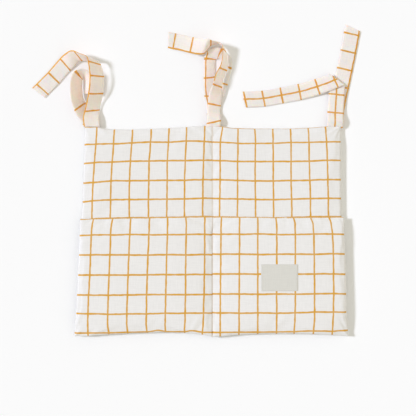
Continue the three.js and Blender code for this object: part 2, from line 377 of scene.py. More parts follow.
def scaled(tree: bpy.types.NodeTree, vector: object, scale: object) -> bpy.types.NodeSocket:
    """Scales a vector or colour: both are a socket or a value."""
    return add_node(tree, "ShaderNodeVectorMath", {0: vector, "Scale": scale}, operation="SCALE").outputs[0]


def maths(tree: bpy.types.NodeTree, operation: str, *values: object) -> bpy.types.NodeSocket:
    """Does one sum: each value is a socket or a number."""
    return add_node(tree, "ShaderNodeMath", dict(enumerate(values)), operation=operation).outputs[0]


def ranged(tree: bpy.types.NodeTree, value: bpy.types.NodeSocket, source: tuple, target: tuple,
           **settings) -> bpy.types.NodeSocket:
    """Maps a value from one range to another.

    Args:
        tree: the material's node tree.
        value: what to map.
        source: both ends of the range it comes from.
        target: both ends of the range it goes to.
        settings: the node's own properties.

    Returns:
        The mapped value.
    """
    return add_node(tree, "ShaderNodeMapRange", {
        "Value": value, "From Min": source[0], "From Max": source[1], "To Min": target[0], "To Max": target[1],
    }, **settings).outputs[0]


def bumped(tree: bpy.types.NodeTree, height: bpy.types.NodeSocket, strength: float,
           depth: float) -> bpy.types.NodeSocket:
    """Roughens a surface by a height: its share of full strength, and how deep it goes in metres."""
    return add_node(tree, "ShaderNodeBump", {
        "Strength": strength, "Distance": depth, "Height": height}).outputs[0]


def surfaced(tree: bpy.types.NodeTree, colour: object, normal: bpy.types.NodeSocket, **inputs) -> None:
    """Adds the surface shader and the output.

    Args:
        tree: the material's node tree.
        colour: the base colour, as a socket or a value.
        normal: the roughened surface.
        inputs: the shader's other inputs, with _ for a space.
    """
    named = {key.replace("_", " "): value for key, value in inputs.items()}
    shader = add_node(tree, "ShaderNodeBsdfPrincipled", {"Base Color": colour, "Normal": normal, **named})
    add_node(tree, "ShaderNodeOutputMaterial", {"Surface": shader.outputs[0]})


@dataclass(frozen=True)
class Weave:
    """Plain-woven cotton, plain or with a printed grid: matt, a little fuzzy, with slubs along both threads."""

    name: str
    ground: str
    ink: Optional[str] = None
    line_width: float = 3.2 * MM
    thread: float = 0.9 * MM  # real threads are about 0.3 mm: drawn coarser, to show from a step away
    slub: float = 0.035                # how much lighter and darker the slubs are
    slub_run: tuple[float, float, float] = (1.6, 17.0, 1.0)  # slubs per printed square, along and across a thread
    bump: float = 0.12 * MM
    glow: float = 0.0                  # share of light that goes through the cloth and warms its shaded side
    glow_depth: float = 3 * MM
    glow_tint: tuple[float, float, float] = (1.0, 0.66, 0.42)
    crease_tone: str = "#F3E9DC"       # painted shade: the warm tone that light from cloth to cloth leaves in a sewn crease
    waver: float = 0.045               # how far the lines stray, in squares
    uneven: float = 0.14               # how much the lines' width and cover change
    line_edge: float = 0.35            # softness of the lines' edges, as a share of their half width

    def build(self) -> bpy.types.Material:
        """Makes the material, which reads the UV map print in units of one printed square."""
        material, tree = new_material(self.name)
        cloth = add_node(tree, "ShaderNodeUVMap", uv_map="print").outputs["UV"]
        along, across, flat = self.slub_run
        both = maths(tree, "ADD", self.slubs(tree, cloth, (along, across, flat)),
                     self.slubs(tree, cloth, (across, along, flat)))
        shade = ranged(tree, both, (0.7, 1.3), (1 - self.slub, 1 + self.slub))
        colour = scaled(tree, linear(self.ground)[:3], shade)
        if self.ink:
            colour = self.printed(tree, cloth, colour)
            # Painted shade: a warm tone multiplied into the colour along the sewn crease of the centre seam, where
            # light passed from cloth to cloth shades it.
            crease = add_node(tree, "ShaderNodeAttribute", attribute_name="crease").outputs["Fac"]
            colour = add_node(tree, "ShaderNodeMix", {0: crease, 6: colour, 7: linear(self.crease_tone)},
                              data_type="RGBA", blend_type="MULTIPLY").outputs[2]
        normal = bumped(tree, self.threads(tree, cloth), 0.6, self.bump)
        surfaced(tree, colour, normal, Roughness=0.9, Specular_IOR_Level=0.2, Sheen_Weight=0.06,
                 Sheen_Roughness=0.5, Subsurface_Weight=self.glow, Subsurface_Radius=self.glow_tint,
                 Subsurface_Scale=self.glow_depth)
        return material

    @staticmethod
    def slubs(tree: bpy.types.NodeTree, cloth: bpy.types.NodeSocket, scale: tuple) -> bpy.types.NodeSocket:
        """Streaks along one set of threads.

        Args:
            tree: the material's node tree.
            cloth: the cloth's coordinates.
            scale: streaks per printed square, across and along.

        Returns:
            A value around 0.5.
        """
        stretched = add_node(tree, "ShaderNodeMapping", {"Vector": cloth, "Scale": scale}).outputs[0]
        return add_node(tree, "ShaderNodeTexNoise", {"Vector": stretched, "Scale": 1.0, "Detail": 3.0}).outputs[0]

    def threads(self, tree: bpy.types.NodeTree, cloth: bpy.types.NodeSocket) -> bpy.types.NodeSocket:
        """Over-and-under height of the woven threads.

        Args:
            tree: the material's node tree.
            cloth: the cloth's coordinates.

        Returns:
            A height from 0 to 1.
        """
        turned = scaled(tree, cloth, SQUARE / self.thread * math.pi)
        parts = add_node(tree, "ShaderNodeSeparateXYZ", {0: turned}).outputs
        crossed = maths(tree, "MULTIPLY", *(maths(tree, "SINE", parts[i]) for i in (0, 1)))
        return maths(tree, "MULTIPLY_ADD", crossed, 0.5, 0.5)

    def printed(self, tree: bpy.types.NodeTree, cloth: bpy.types.NodeSocket,
                ground: bpy.types.NodeSocket) -> bpy.types.NodeSocket:
        """Lays the printed lines on the ground colour, a little uneven like a hand-drawn grid.

        Args:
            tree: the material's node tree.
            cloth: the cloth's coordinates, whole numbers where a line runs.
            ground: the unprinted colour.

        Returns:
            The printed colour.
        """
        drift = add_node(tree, "ShaderNodeTexNoise", {"Vector": cloth, "Scale": 2.3, "Detail": 2.0}).outputs["Color"]
        centred = add_node(tree, "ShaderNodeVectorMath", {0: drift, 1: (0.5, 0.5, 0.5)},
                           operation="SUBTRACT").outputs[0]
        moved = add_node(tree, "ShaderNodeVectorMath", {0: cloth, 1: scaled(tree, centred, self.waver)},
                         operation="ADD").outputs[0]
        parts = add_node(tree, "ShaderNodeSeparateXYZ", {0: moved}).outputs
        pressure = add_node(tree, "ShaderNodeTexNoise", {"Vector": cloth, "Scale": 3.1, "Detail": 3.0}).outputs[0]
        half = self.line_width / SQUARE / 2
        reach = ranged(tree, pressure, (0.3, 0.7), (half * (1 - self.uneven), half * (1 + self.uneven)))
        outer = maths(tree, "MULTIPLY", reach, 1 + self.line_edge)
        inner = maths(tree, "MULTIPLY", reach, 1 - self.line_edge)
        lines = [ranged(tree, maths(tree, "PINGPONG", parts[axis], 0.5), (outer, inner), (0.0, 1.0),
                        interpolation_type="SMOOTHSTEP") for axis in (0, 1)]
        cover = ranged(tree, pressure, (0.25, 0.75), (1 - self.uneven, 1.0))
        amount = maths(tree, "MULTIPLY", maths(tree, "MAXIMUM", *lines), cover)
        mixed = add_node(tree, "ShaderNodeMix", {0: amount, 6: ground, 7: linear(self.ink)}, data_type="RGBA")
        return mixed.outputs[2]


@dataclass(frozen=True)
class Fibre:
    """Polyester wadding: a soft white mat of fine curled fibres."""

    name: str = "polyester_wadding"
    colour: str = "#F6F5F2"
    clump: float = 9 * MM
    bump: float = 1.2 * MM

    def build(self) -> bpy.types.Material:
        """Makes the material on Object coordinates."""
        material, tree = new_material(self.name)
        place_in = add_node(tree, "ShaderNodeTexCoord").outputs["Object"]
        clumps = add_node(tree, "ShaderNodeTexNoise", {
            "Vector": place_in, "Scale": 1 / self.clump, "Detail": 8.0, "Roughness": 0.7}).outputs[0]
        colour = scaled(tree, linear(self.colour)[:3], ranged(tree, clumps, (0.3, 0.7), (0.94, 1.0)))
        surfaced(tree, colour, bumped(tree, clumps, 0.7, self.bump), Roughness=1.0, Specular_IOR_Level=0.1,
                 Sheen_Weight=0.2)
        return material


@dataclass(frozen=True)
class Thread:
    """Spun polyester sewing thread: two plies whose twist shows as fine slanting ridges."""

    name: str = "spun_sewing_thread"
    colour: str = "#EFEBE1"
    ply: float = 0.5 * MM
    bump: float = 0.05 * MM

    def build(self) -> bpy.types.Material:
        """Makes the material on Object coordinates."""
        material, tree = new_material(self.name)
        place_in = add_node(tree, "ShaderNodeTexCoord").outputs["Object"]
        bands = 2 * math.pi / 20 / self.ply  # at a scale of 1 the wave's phase runs at about 20 per metre
        twist = add_node(tree, "ShaderNodeTexWave", {"Vector": place_in, "Scale": bands, "Distortion": 1.5},
                         bands_direction="DIAGONAL").outputs[1]
        colour = scaled(tree, linear(self.colour)[:3], ranged(tree, twist, (0.0, 1.0), (0.9, 1.0)))
        surfaced(tree, colour, bumped(tree, twist, 0.5, self.bump), Roughness=0.6, Specular_IOR_Level=0.35)
        return material


@dataclass(frozen=True)
class Paper:
    """Seamless white background paper, matt."""

    name: str = "background_paper"
    colour: str = "#FBFBFB"
    grains: float = 900.0  # per metre
    bump: float = 0.02 * MM

    def build(self) -> bpy.types.Material:
        """Makes the material on Object coordinates."""
        material, tree = new_material(self.name)
        place_in = add_node(tree, "ShaderNodeTexCoord").outputs["Object"]
        grain = add_node(tree, "ShaderNodeTexNoise", {"Vector": place_in, "Scale": self.grains}).outputs[0]
        surfaced(tree, linear(self.colour), bumped(tree, grain, 0.1, self.bump), Roughness=1.0,
                 Specular_IOR_Level=0.0)
        return material


class Finish(Enum):
    """The finishes of the organizer, each with the record's slot that it belongs to."""

    PRINTED = (Weave("grid_printed_cotton", "#ECEAE7", ink="#D99F28"), "printed_cotton")
    PRINTED_TIE = (Weave("grid_printed_tie_cotton", "#FAEBE3", ink="#DF9F2C", glow=0.55), "printed_cotton")
    PLAIN = (Weave("undyed_cotton", "#EBE8E1"), "plain_cotton")
    LABEL = (Weave("woven_cotton_tape", "#DAD8D0", thread=1.3 * MM, slub=0.03, bump=0.2 * MM), "label")
    WADDING = (Fibre(), "wadding")
    THREAD = (Thread(), "thread")

    def dress(self, piece: bpy.types.Object) -> None:
        """Puts this finish on all of a piece.

        Args:
            piece: the mesh to dress.
        """
        material = bpy.data.materials.get(self.value[0].name) or self.value[0].build()
        piece.data.materials.clear()
        piece.data.materials.append(material)


# The printed grid, where it lies on the sewn organizer

@dataclass(frozen=True)
class PrintedGrid:
    """Where the printed lines of one section run, in millimetres: the cloth is drawn in by its seams."""

    verticals: tuple[Row, ...]    # (y, the x of each vertical line), from the top down
    horizontals: tuple[Row, ...]  # (x, the y of each horizontal line), from the left
    pitch: float = 35.0

    @staticmethod
    def count(where: Points, marks: Sequence[float], pitch: float) -> Points:
        """Counts squares along one row of marks, with whole numbers at the marks.

        Args:
            where: the positions to read.
            marks: rising positions of the lines.
            pitch: the square's size past the first and last line.

        Returns:
            Line numbers, as fractions between lines.
        """
        marks = np.array([marks[0] - 20 * pitch, *marks, marks[-1] + 20 * pitch])
        numbers = np.array([-20.0, *range(len(marks) - 2), len(marks) - 3 + 20.0])
        return np.interp(where, marks, numbers)

    def squares(self, x: Points, y: Points) -> tuple[Points, Points]:
        """Turns places on the laid cloth into squares of the print.

        Args:
            x: places across, in metres.
            y: places up the organizer, in metres.

        Returns:
            The coordinates in squares, across and down.
        """
        x, y = x / MM, y / MM
        rows = np.array([self.count(x, marks, self.pitch) for _, marks in self.verticals])
        levels = np.array([level for level, _ in self.verticals])
        across = self.between(y, levels[::-1], rows[::-1])
        columns = np.array([self.count(-y, [-m for m in marks], self.pitch) for _, marks in self.horizontals])
        down = self.between(x, np.array([level for level, _ in self.horizontals]), columns)
        return across, down

    @staticmethod
    def between(where: Points, levels: Points, tables: Points) -> Points:
        """Blends a stack of tables that hold at rising levels.

        Args:
            where: each point's own level.
            levels: the level of each table.
            tables: one row of values for each level.

        Returns:
            One value for each point.
        """
        share = np.interp(where, levels, np.arange(len(levels)))
        low = np.minimum(share.astype(int), len(levels) - 2)
        step = share - low
        pick = np.arange(len(where))
        return tables[low, pick] * (1 - step) + tables[low + 1, pick] * step


UPPER_LEFT = PrintedGrid(
    verticals=(
        (185.2, (-221.1, -187.6, -152.8, -116.8, -82.9, -49.4, -14.6)),
        (168.8, (-222.1, -188.6, -153.7, -117.8, -83.9, -50.2, -15.6)),
        (132.0, (-225.1, -191.3, -156.6, -120.8, -86.2, -51.7, -16.9)),
        (95.5, (-227.8, -193.4, -158.5, -121.2, -86.0, -53.1, -17.9)),
        (59.7, (-229.3, -194.3, -158.9, -122.0, -86.6, -53.3, -18.3)),
        (25.8, (-230.3, -194.9, -158.5, -122.0, -87.1, -53.3, -18.4)),
    ),
    horizontals=(
        (-244.1, (199.2, 164.9, 128.8, 91.5, 55.5)), (-221.9, (199.4, 165.9, 130.9, 92.8, 58.3)),
        (-188.2, (203.0, 166.3, 131.6, 95.9, 59.7)), (-153.7, (204.0, 167.8, 133.4, 96.0, 60.1)),
        (-117.8, (205.0, 169.9, 133.4, 96.2, 60.1)), (-83.9, (205.0, 169.2, 134.3, 96.6, 60.6)),
        (-50.4, (206.0, 171.8, 134.5, 96.6, 61.0)), (-16.0, (206.0, 171.4, 134.9, 98.3, 62.6)),
        (3.2, (204.6, 169.5, 135.1, 97.4, 62.0)),
    ),
)
UPPER_RIGHT = PrintedGrid(
    verticals=(
        (196.1, (19.4, 48.9, 80.9, 115.7, 149.4, 183.5, 216.4)),
        (170.5, (15.2, 48.9, 82.4, 115.9, 150.2, 184.4, 218.1)),
        (133.7, (14.9, 48.3, 81.8, 116.3, 150.3, 185.2, 219.6)),
        (97.0, (14.9, 48.3, 81.5, 116.3, 150.3, 186.3, 220.6)),
        (61.2, (14.3, 48.2, 82.4, 116.9, 151.3, 187.5, 221.3)),
        (28.7, (13.7, 47.8, 82.6, 116.9, 151.9, 187.7, 221.9)),
    ),
    horizontals=(
        (-2.6, (203.4, 169.9, 134.7, 98.3, 62.0)), (15.0, (200.3, 169.7, 134.3, 98.0, 61.5)),
        (48.5, (196.3, 167.4, 132.6, 96.2, 61.2)), (82.0, (196.5, 167.0, 132.6, 95.7, 60.3)),
        (116.3, (197.1, 167.4, 132.6, 95.3, 59.5)), (150.3, (196.5, 169.2, 132.6, 96.2, 60.6)),
        (185.6, (197.9, 169.2, 133.4, 96.6, 61.5)), (219.4, (200.7, 170.5, 134.9, 98.3, 62.4)),
        (245.8, (201.5, 170.5, 134.7, 98.0, 62.0)),
    ),
)
POCKET_LEFT = PrintedGrid(
    verticals=(
        (25.5, (-226.5, -189.8, -155.6, -119.6, -85.5, -50.5, -14.2)),
        (13.2, (-229.0, -192.1, -156.5, -120.2, -85.2, -49.6, -14.6)),
        (-7.0, (-230.5, -193.8, -157.1, -120.5, -85.5, -50.0, -14.6)),
        (-45.6, (-232.0, -194.7, -158.8, -122.5, -86.9, -50.3, -14.6)),
        (-83.7, (-233.4, -196.3, -160.5, -123.8, -87.6, -50.9, -15.1)),
        (-121.7, (-235.7, -198.0, -161.5, -125.1, -88.8, -50.9, -15.9)),
        (-156.9, (-237.0, -198.7, -163.0, -125.5, -89.5, -51.7, -16.9)),
        (-178.8, (-237.6, -199.7, -163.0, -125.9, -90.1, -52.4, -17.6)),
        (-192.1, (-237.6, -197.4, -162.0, -124.7, -89.2, -52.8, -19.1)),
    ),
    horizontals=(
        (-251.3, (22.3, -8.7, -46.0, -83.9, -122.1, -157.5, -195.0)),
        (-230.9, (23.3, -7.2, -45.4, -83.7, -122.1, -157.5, -194.8)),
        (-194.0, (24.2, -7.2, -45.4, -83.9, -122.1, -158.1, -194.4)),
        (-157.6, (25.0, -6.4, -45.6, -83.3, -121.5, -157.7, -193.3)),
        (-120.9, (25.5, -7.0, -46.0, -83.3, -121.1, -157.7, -192.5)),
        (-104.4, (25.9, -7.0, -45.4, -83.1, -121.1, -157.1, -188.9)),
        (-86.3, (26.3, -6.8, -44.9, -82.9, -121.1, -156.5, -192.5)),
        (-50.2, (26.7, -6.6, -45.4, -82.9, -121.5, -156.7, -192.1)),
        (-42.5, (26.9, -6.4, -45.4, -82.9, -121.3, -156.5, -189.5)),
        (-15.0, (27.3, -5.7, -44.9, -82.3, -121.0, -156.2, -193.1)),
        (-0.7, (27.2, -7.2, -45.8, -83.3, -121.5, -156.7, -193.8)),
    ),
)
POCKET_RIGHT = PrintedGrid(
    verticals=(
        (25.9, (17.4, 52.0, 86.4, 120.9, 154.9, 187.1, 222.9)),
        (15.5, (16.8, 51.8, 86.6, 122.6, 157.4, 191.3, 226.3)),
        (-5.7, (16.4, 51.6, 86.4, 122.6, 157.8, 192.8, 228.8)),
        (-43.7, (16.1, 51.6, 86.3, 122.6, 157.8, 193.9, 230.5)),
        (-119.8, (15.3, 51.2, 86.3, 122.2, 157.8, 194.5, 231.2)),
        (-155.0, (15.1, 50.9, 86.3, 122.6, 157.4, 194.7, 230.5)),
        (-178.8, (14.9, 50.9, 86.3, 122.6, 156.5, 193.9, 229.5)),
        (-194.0, (14.9, 50.9, 86.3, 122.6, 155.7, 193.0, 228.8)),
    ),
    horizontals=(
        (-0.7, (27.2, -6.0, -44.3, -81.8, -120.2, -156.0, -193.3)),
        (51.6, (26.6, -6.0, -43.9, -81.8, -119.8, -156.0, -193.1)),
        (86.4, (26.7, -5.3, -44.9, -81.6, -120.4, -155.6, -193.1)),
        (122.6, (25.9, -6.6, -44.3, -81.8, -120.0, -156.5, -192.5)),
        (157.6, (26.1, -6.6, -43.9, -81.8, -120.4, -155.8, -192.1)),
        (177.0, (26.3, -6.0, -44.1, -81.8, -120.2, -155.0, -190.8)),
        (193.9, (26.3, -5.7, -44.3, -81.8, -119.8, -154.3, -190.6)),
        (230.1, (26.7, -5.3, -43.3, -81.4, -119.1, -154.3, -191.2)),
        (255.2, (27.2, -6.6, -44.3, -82.7, -120.4, -154.8, -190.0)),
    ),
)


# Sewn shape

@dataclass(frozen=True)
class Pattern:
    """Sizes of the sewn panel and pockets, the same as the frame's."""

    width: float = 510 * MM               # of the flat cloth between the seams, in the middle
    height: float = 400 * MM
    half_width: float = 251 * MM          # what a share of 1 across stands for
    half_height: float = 200 * MM         # and a share of 1 up
    thickness: float = 13 * MM
    seam_height: float = 7 * MM           # of the edge seam, above the surface below
    rim: float = 14 * MM                  # width of the front's rounded rim
    rim_power: float = 4.0
    back_rim: float = 12 * MM
    seam_softness: float = 7 * MM         # half width of the centre seam's valley
    valley: float = 1.3 * MM              # its depth
    seam_groove: float = 1.1 * MM         # how much deeper the stitches pull
    back_valley: float = 2.5 * MM
    mouth: float = 27.5 * MM              # height of the pockets' mouths above the centre
    overhang: float = 3 * MM              # the pocket strip is this much wider and longer than the panel
    gape: float = 2.2 * MM                # room inside a resting pocket
    gape_spread: float = 75 * MM          # width over which a wall rises from its seams
    gape_rise: float = 40 * MM            # the same, up from the bottom seam
    wall: float = 4.8 * MM
    wall_at_mouth: float = 2.0 * MM
    mouth_rise: float = 35 * MM           # from the mouth to a wall's full thickness
    wall_edge: float = 2.2 * MM           # width of a wall's rounded edge
    layer_gap: float = 0.3 * MM
    corner_drop: float = 3.5 * MM         # how much thinner the padding is at a corner
    corner_reach: float = 26 * MM
    corner_share: float = 0.1             # how much a pocket wall thins out for each mm of that
    seam_lift: float = 2.5 * MM           # height of a wall's closed edge over the edge seam
    centre_lift: float = 2.4 * MM         # and over the panel at the centre seam
    nearness: float = 0.5 * MM            # how soon a wall's edge takes the level of the nearest seam
    folds: tuple[tuple[float, ...], ...] = (  # soft wrinkles: both ends, the width and the height, in mm
        (-212, 30, -176, 62, 9, -1.16), (-226, 66, -196, 92, 10, 0.84), (-172, 152, -158, 176, 7, 0.63),
        (-92, 150, -70, 182, 7, -0.73), (-70, 160, -50, 190, 6, 0.73), (16, 190, 40, 166, 5, 0.95),
        (24, 198, 56, 178, 5, -0.84), (66, 168, 84, 142, 6, 0.63), (96, 176, 110, 150, 7, -0.63),
        (-38, -186, -26, -164, 3.5, 1.05), (-30, -190, -14, -170, 3, -1.05), (-50, -184, -44, -168, 4, 0.73),
        (122, -184, 140, -158, 5, 1.05), (112, -182, 128, -160, 4.5, -0.84), (-104, -186, -96, -170, 4, 0.84),
        (226, -60, 243, -72, 4, -1.26), (228, -90, 245, -84, 4, -1.05), (224, -120, 246, -128, 5, -1.26),
        (196, -14, 214, 10, 6, -0.73), (-240, -20, -214, 8, 7, 0.73), (34, -20, 60, 10, 7, 0.63))
    sides: tuple[tuple[float, float, float], ...] = (  # share up, and the left and right seam's distance in mm
        (-1.0, 261.5, 257.5), (-0.77, 258.3, 254.2), (-0.3, 253.6, 252.3), (0.1, 251.0, 249.0),
        (0.18, 249.8, 247.4), (1.0, 244.5, 246.3))
    top_edge: tuple[tuple[float, float], ...] = (      # share across, and the distance from the middle in mm
        (-1.0, 200.5), (-0.89, 199.2), (-0.82, 195.2), (-0.63, 194.8), (-0.48, 195.9), (-0.34, 197.4),
        (-0.21, 199.2), (-0.07, 201.5), (0.08, 200.3), (0.15, 197.6), (0.33, 196.5), (0.61, 196.5),
        (0.75, 198.2), (0.89, 200.7), (1.0, 201.5))
    bottom_edge: tuple[tuple[float, float], ...] = (
        (-1.0, 199.2), (-0.93, 199.2), (-0.79, 196.5), (-0.64, 194.2), (-0.49, 192.8), (-0.37, 192.0),
        (-0.2, 192.8), (-0.06, 196.5), (0.0, 200.8), (0.1, 198.8), (0.2, 196.3), (0.34, 194.9),
        (0.62, 194.5), (0.76, 195.3), (0.9, 197.0), (1.0, 198.8))

    def point(self, u: Points, v: Points) -> tuple[Points, Points]:
        """Place of a point of the panel, from its shares across and up.

        Args:
            u: share across, from -1 to 1.
            v: share up, from -1 to 1.

        Returns:
            x and y.
        """
        level, left, right = np.array(self.sides).T
        half = np.where(u < 0, np.interp(v, level, left), np.interp(v, level, right))
        upper = np.interp(u, *np.array(self.top_edge).T)
        lower = np.interp(u, *np.array(self.bottom_edge).T)
        return u * half * MM, v * np.where(v > 0, upper, lower) * MM

    def side(self, u: Points) -> Points:
        """Distance to the nearer side seam."""
        return (1 - np.abs(u)) * self.half_width

    def end(self, v: Points) -> Points:
        """Distance to the nearer end seam."""
        return (1 - np.abs(v)) * self.half_height

    def pinch(self, u: Points) -> Points:
        """0 at the centre seam and 1 away from it."""
        return 1 - np.exp(-((u * self.half_width / self.seam_softness) ** 2))

    def drop(self, u: Points, v: Points) -> Points:
        """How much thinner the padding is near the corners."""
        away = (self.side(u) ** 2 + self.end(v) ** 2) / self.corner_reach ** 2
        return self.corner_drop * np.exp(-away)

    def wrinkles(self, u: Points, v: Points, is_panel: bool) -> Points:
        """Height of the soft wrinkles that show on the panel above the mouth, or on the pockets below it.

        Args:
            u: share across.
            v: share up.
            is_panel: whether the panel's wrinkles are wanted.

        Returns:
            What they add to the height.
        """
        x, y = self.point(u, v)
        height = np.zeros_like(x)
        for x0, y0, x1, y1, width, rise in np.array(self.folds) * MM:
            if (y0 > self.mouth) != is_panel:
                continue
            run = np.array([x1 - x0, y1 - y0])
            share = np.clip(((x - x0) * run[0] + (y - y0) * run[1]) / (run @ run), 0, 1)
            away = (x - x0 - share * run[0]) ** 2 + (y - y0 - share * run[1]) ** 2
            height += rise * np.exp(-away / width ** 2)
        return height

    def padding(self, u: Points, v: Points) -> Points:
        """Height of the full padding, with the centre seam's valley and the thinner corners."""
        return self.thickness - self.valley * (1 - self.pinch(u)) - self.drop(u, v)

    def panel_faces(self, u: Points, v: Points) -> tuple[Points, Points]:
        """Heights of the panel's back, flat but for its rim and the centre seam, and of its front.

        Args:
            u: share across.
            v: share up.

        Returns:
            The two heights, which meet at the edge seam.
        """
        full = rounded_rise(self.side(u), self.back_rim) * rounded_rise(self.end(v), self.back_rim)
        back = self.seam_height * (1 - full) + self.back_valley * full * (1 - self.pinch(u))
        full = (rounded_rise(self.side(u), self.rim, self.rim_power)
                * rounded_rise(self.end(v), self.rim, self.rim_power))
        height = self.padding(u, v) - self.seam_groove * (np.abs(u) < ON_SEAM) + self.wrinkles(u, v, True)
        return back, self.seam_height + (height - self.seam_height) * full

    def lining(self, u: Points, v: Points) -> Points:
        """Height of a pocket's inner face over the panel, before its edges close."""
        centre = np.abs(u) * self.half_width
        across = smooth_step(centre, 0.0, self.gape_spread) * smooth_step(self.side(u), 0.0, self.gape_spread)
        return (self.padding(u, v) + self.layer_gap
                + self.gape * across * smooth_step(self.end(v), 0.0, self.gape_rise))

    def wall_faces(self, u: Points, v: Points) -> tuple[Points, Points]:
        """Heights of a pocket wall's inner and outer face.

        Args:
            u: share across.
            v: share up.

        Returns:
            The two heights, which meet at the wall's edges.
        """
        lining = self.lining(u, v)
        mouth_away = self.mouth - v * self.half_height
        outside = np.minimum(self.overhang + self.side(u), self.overhang + (1 + v) * self.half_height)
        inner = np.abs(u) * self.half_width
        depth = self.wall_at_mouth + (self.wall - self.wall_at_mouth) * smooth_step(mouth_away, 0.0, self.mouth_rise)
        depth = depth * (1 - self.corner_share * self.drop(u, v) / MM) + self.wrinkles(u, v, False)
        nearness = [1 / (np.maximum(d, 0.0) + self.nearness) ** 2 for d in (outside, inner, mouth_away)]
        levels = (self.seam_height + self.seam_lift, lining + self.centre_lift, lining + self.wall_at_mouth / 2)
        closing = sum(n * level for n, level in zip(nearness, levels)) / sum(nearness)
        fold = rounded_rise(mouth_away, self.wall_edge) * rounded_rise(inner, self.wall_edge)
        low = closing + (lining - closing) * fold * rounded_rise(outside, self.wall_edge)
        high = closing + (lining + depth - closing) * fold * rounded_rise(outside, self.rim, self.rim_power)
        return low, high


@dataclass
class Pad:
    """A closed padded form over a grid of cloth, whose seams are held while the filling pushes it out."""

    name: str
    columns: int
    rows: int
    left: float
    right: float
    bottom: float
    top: float
    heights: Callable[[Points, Points], tuple[Points, Points]]  # of its back and front, from the shares
    sections: int = 1         # how many padded sections lie side by side
    crowding: float = 0.72    # how much closer the grid lines are at a seam
    weld: float = 0.02 * MM
    frames: int = 16          # how long the filling pushes
    pattern: Pattern = field(default_factory=Pattern)

    def crowded(self, share: Points, sections: int) -> Points:
        """Moves grid lines towards the seams, where the cloth bends most.

        Args:
            share: even shares from 0 to 1.
            sections: how many padded sections lie side by side.

        Returns:
            Uneven shares from 0 to 1.
        """
        turn = 2 * np.pi * sections
        return share - self.crowding * np.sin(turn * share) / turn

    def sew(self) -> bpy.types.Object:
        """Makes the closed form from two grids joined round their rim.

        Returns:
            The pad, with the attributes u, v and side on its points.
        """
        halves = []
        for is_back in (False, True):
            half = grid_of(f"{self.name}_{'back' if is_back else 'front'}", self.columns, self.rows)
            flat = (coordinates(half) + 1) / 2
            u = self.left + self.crowded(flat[:, 0], self.sections) * (self.right - self.left)
            v = self.bottom + self.crowded(flat[:, 1], 1) * (self.top - self.bottom)
            x, y = self.pattern.point(u, v)
            low, high = self.heights(u, v)
            place(half, np.column_stack([x, y, low if is_back else high]))
            for key, values in (("u", u), ("v", v), ("side", np.full(len(u), float(is_back)))):
                note(half.data, key, "FLOAT", "POINT", values)
            note(half.data, "back_face", "INT", "FACE", np.full(len(half.data.polygons), int(is_back)))
            halves.append(half)
        edit_all(halves[1], bpy.ops.mesh.flip_normals)
        alone(halves[0])
        halves[1].select_set(True)
        bpy.ops.object.join()
        pad = bpy.context.object
        pad.name = self.name
        edit_all(pad, bpy.ops.mesh.remove_doubles, threshold=self.weld)
        return pad

    def fill(self, pad: bpy.types.Object, held: Points, push: float, slack: float, reach: float) -> None:
        """Fills the pad by a cloth simulation with inner pressure, its seams held.

        Args:
            pad: the closed form.
            held: one truth value for each point, true at a seam.
            push: the filling's pressure.
            slack: how much larger the cloth is than its outline, as a share.
            reach: the furthest that a point may move.
        """
        start = coordinates(pad)
        group = pad.vertex_groups.new(name="seams")
        group.add([int(i) for i in np.flatnonzero(held)], 1.0, "REPLACE")
        cloth = pad.modifiers.new("Cloth", "CLOTH")
        for key, value in {
            "quality": 5, "mass": 0.15, "tension_stiffness": 25, "compression_stiffness": 25,
            "shear_stiffness": 8, "bending_stiffness": 0.4, "vertex_group_mass": group.name,
            "shrink_min": -slack, "use_pressure": True, "uniform_pressure_force": push,
        }.items():
            setattr(cloth.settings, key, value)
        cloth.settings.effector_weights.gravity = 0
        cloth.collision_settings.use_collision = False
        cloth.point_cache.frame_start = 1
        cloth.point_cache.frame_end = self.frames
        for number in range(1, self.frames + 1):
            bpy.context.scene.frame_set(number)
        alone(pad)
        bpy.ops.object.modifier_apply(modifier=cloth.name)
        pad.vertex_groups.clear()
        moved = coordinates(pad) - start
        far = np.maximum(np.linalg.norm(moved, axis=1, keepdims=True), 1e-9)
        place(pad, start + moved / far * reach * np.tanh(far / reach))
        bpy.context.scene.frame_set(1)


def print_map(piece: bpy.types.Object, left: Optional[PrintedGrid], right: Optional[PrintedGrid]) -> None:
    """Gives a piece the UV map print, from where each corner lies.

    Args:
        piece: the mesh.
        left: the grid for faces left of the centre seam, or None for plain squares.
        right: the grid for faces right of it.
    """
    mesh = piece.data
    points = coordinates(piece)
    plain = points[:, :2] / SQUARE
    sides = [np.column_stack(grid.squares(points[:, 0], points[:, 1])) if grid else plain
             for grid in (left, right)]
    corners = read(mesh.loops, "vertex_index", kind=np.int32)
    on_right = np.repeat(face_centres(piece)[:, 0] > 0, read(mesh.polygons, "loop_total", kind=np.int32))
    uv = np.where(on_right[:, None], sides[1][corners], sides[0][corners])
    layer = mesh.uv_layers.get("print") or mesh.uv_layers.new(name="print")
    layer.data.foreach_set("uv", uv.astype(np.float32).ravel())
    mesh.uv_layers.active = layer
    if left:
        # Painted shade: the mask of the warm shade painted along the sewn crease of the centre seam.
        note(mesh, "crease", "FLOAT", "POINT", np.exp(-(points[:, 0] / PAINTED_CREASE_SHADE_REACH) ** 2))


def facing_pairs(pad: bpy.types.Object) -> tuple[Points, Points, Points]:
    """Pairs each point of a pad's front with the point of its back behind it.

    Args:
        pad: the closed form, before its cloth is subdivided.

    Returns:
        The numbers of the front points and of the back points, and half the way from back to front.
    """
    per_share = 1e6  # to compare shares as whole numbers
    u, v, side = (np.round(noted(pad, key) * per_share).astype(np.int64) for key in ("u", "v", "side"))
    order = np.lexsort((side, v, u))
    same = (u[order[1:]] == u[order[:-1]]) & (v[order[1:]] == v[order[:-1]])
    front, back = order[:-1][same], order[1:][same]
    points = coordinates(pad)
    return front, back, (points[front] - points[back]) / 2


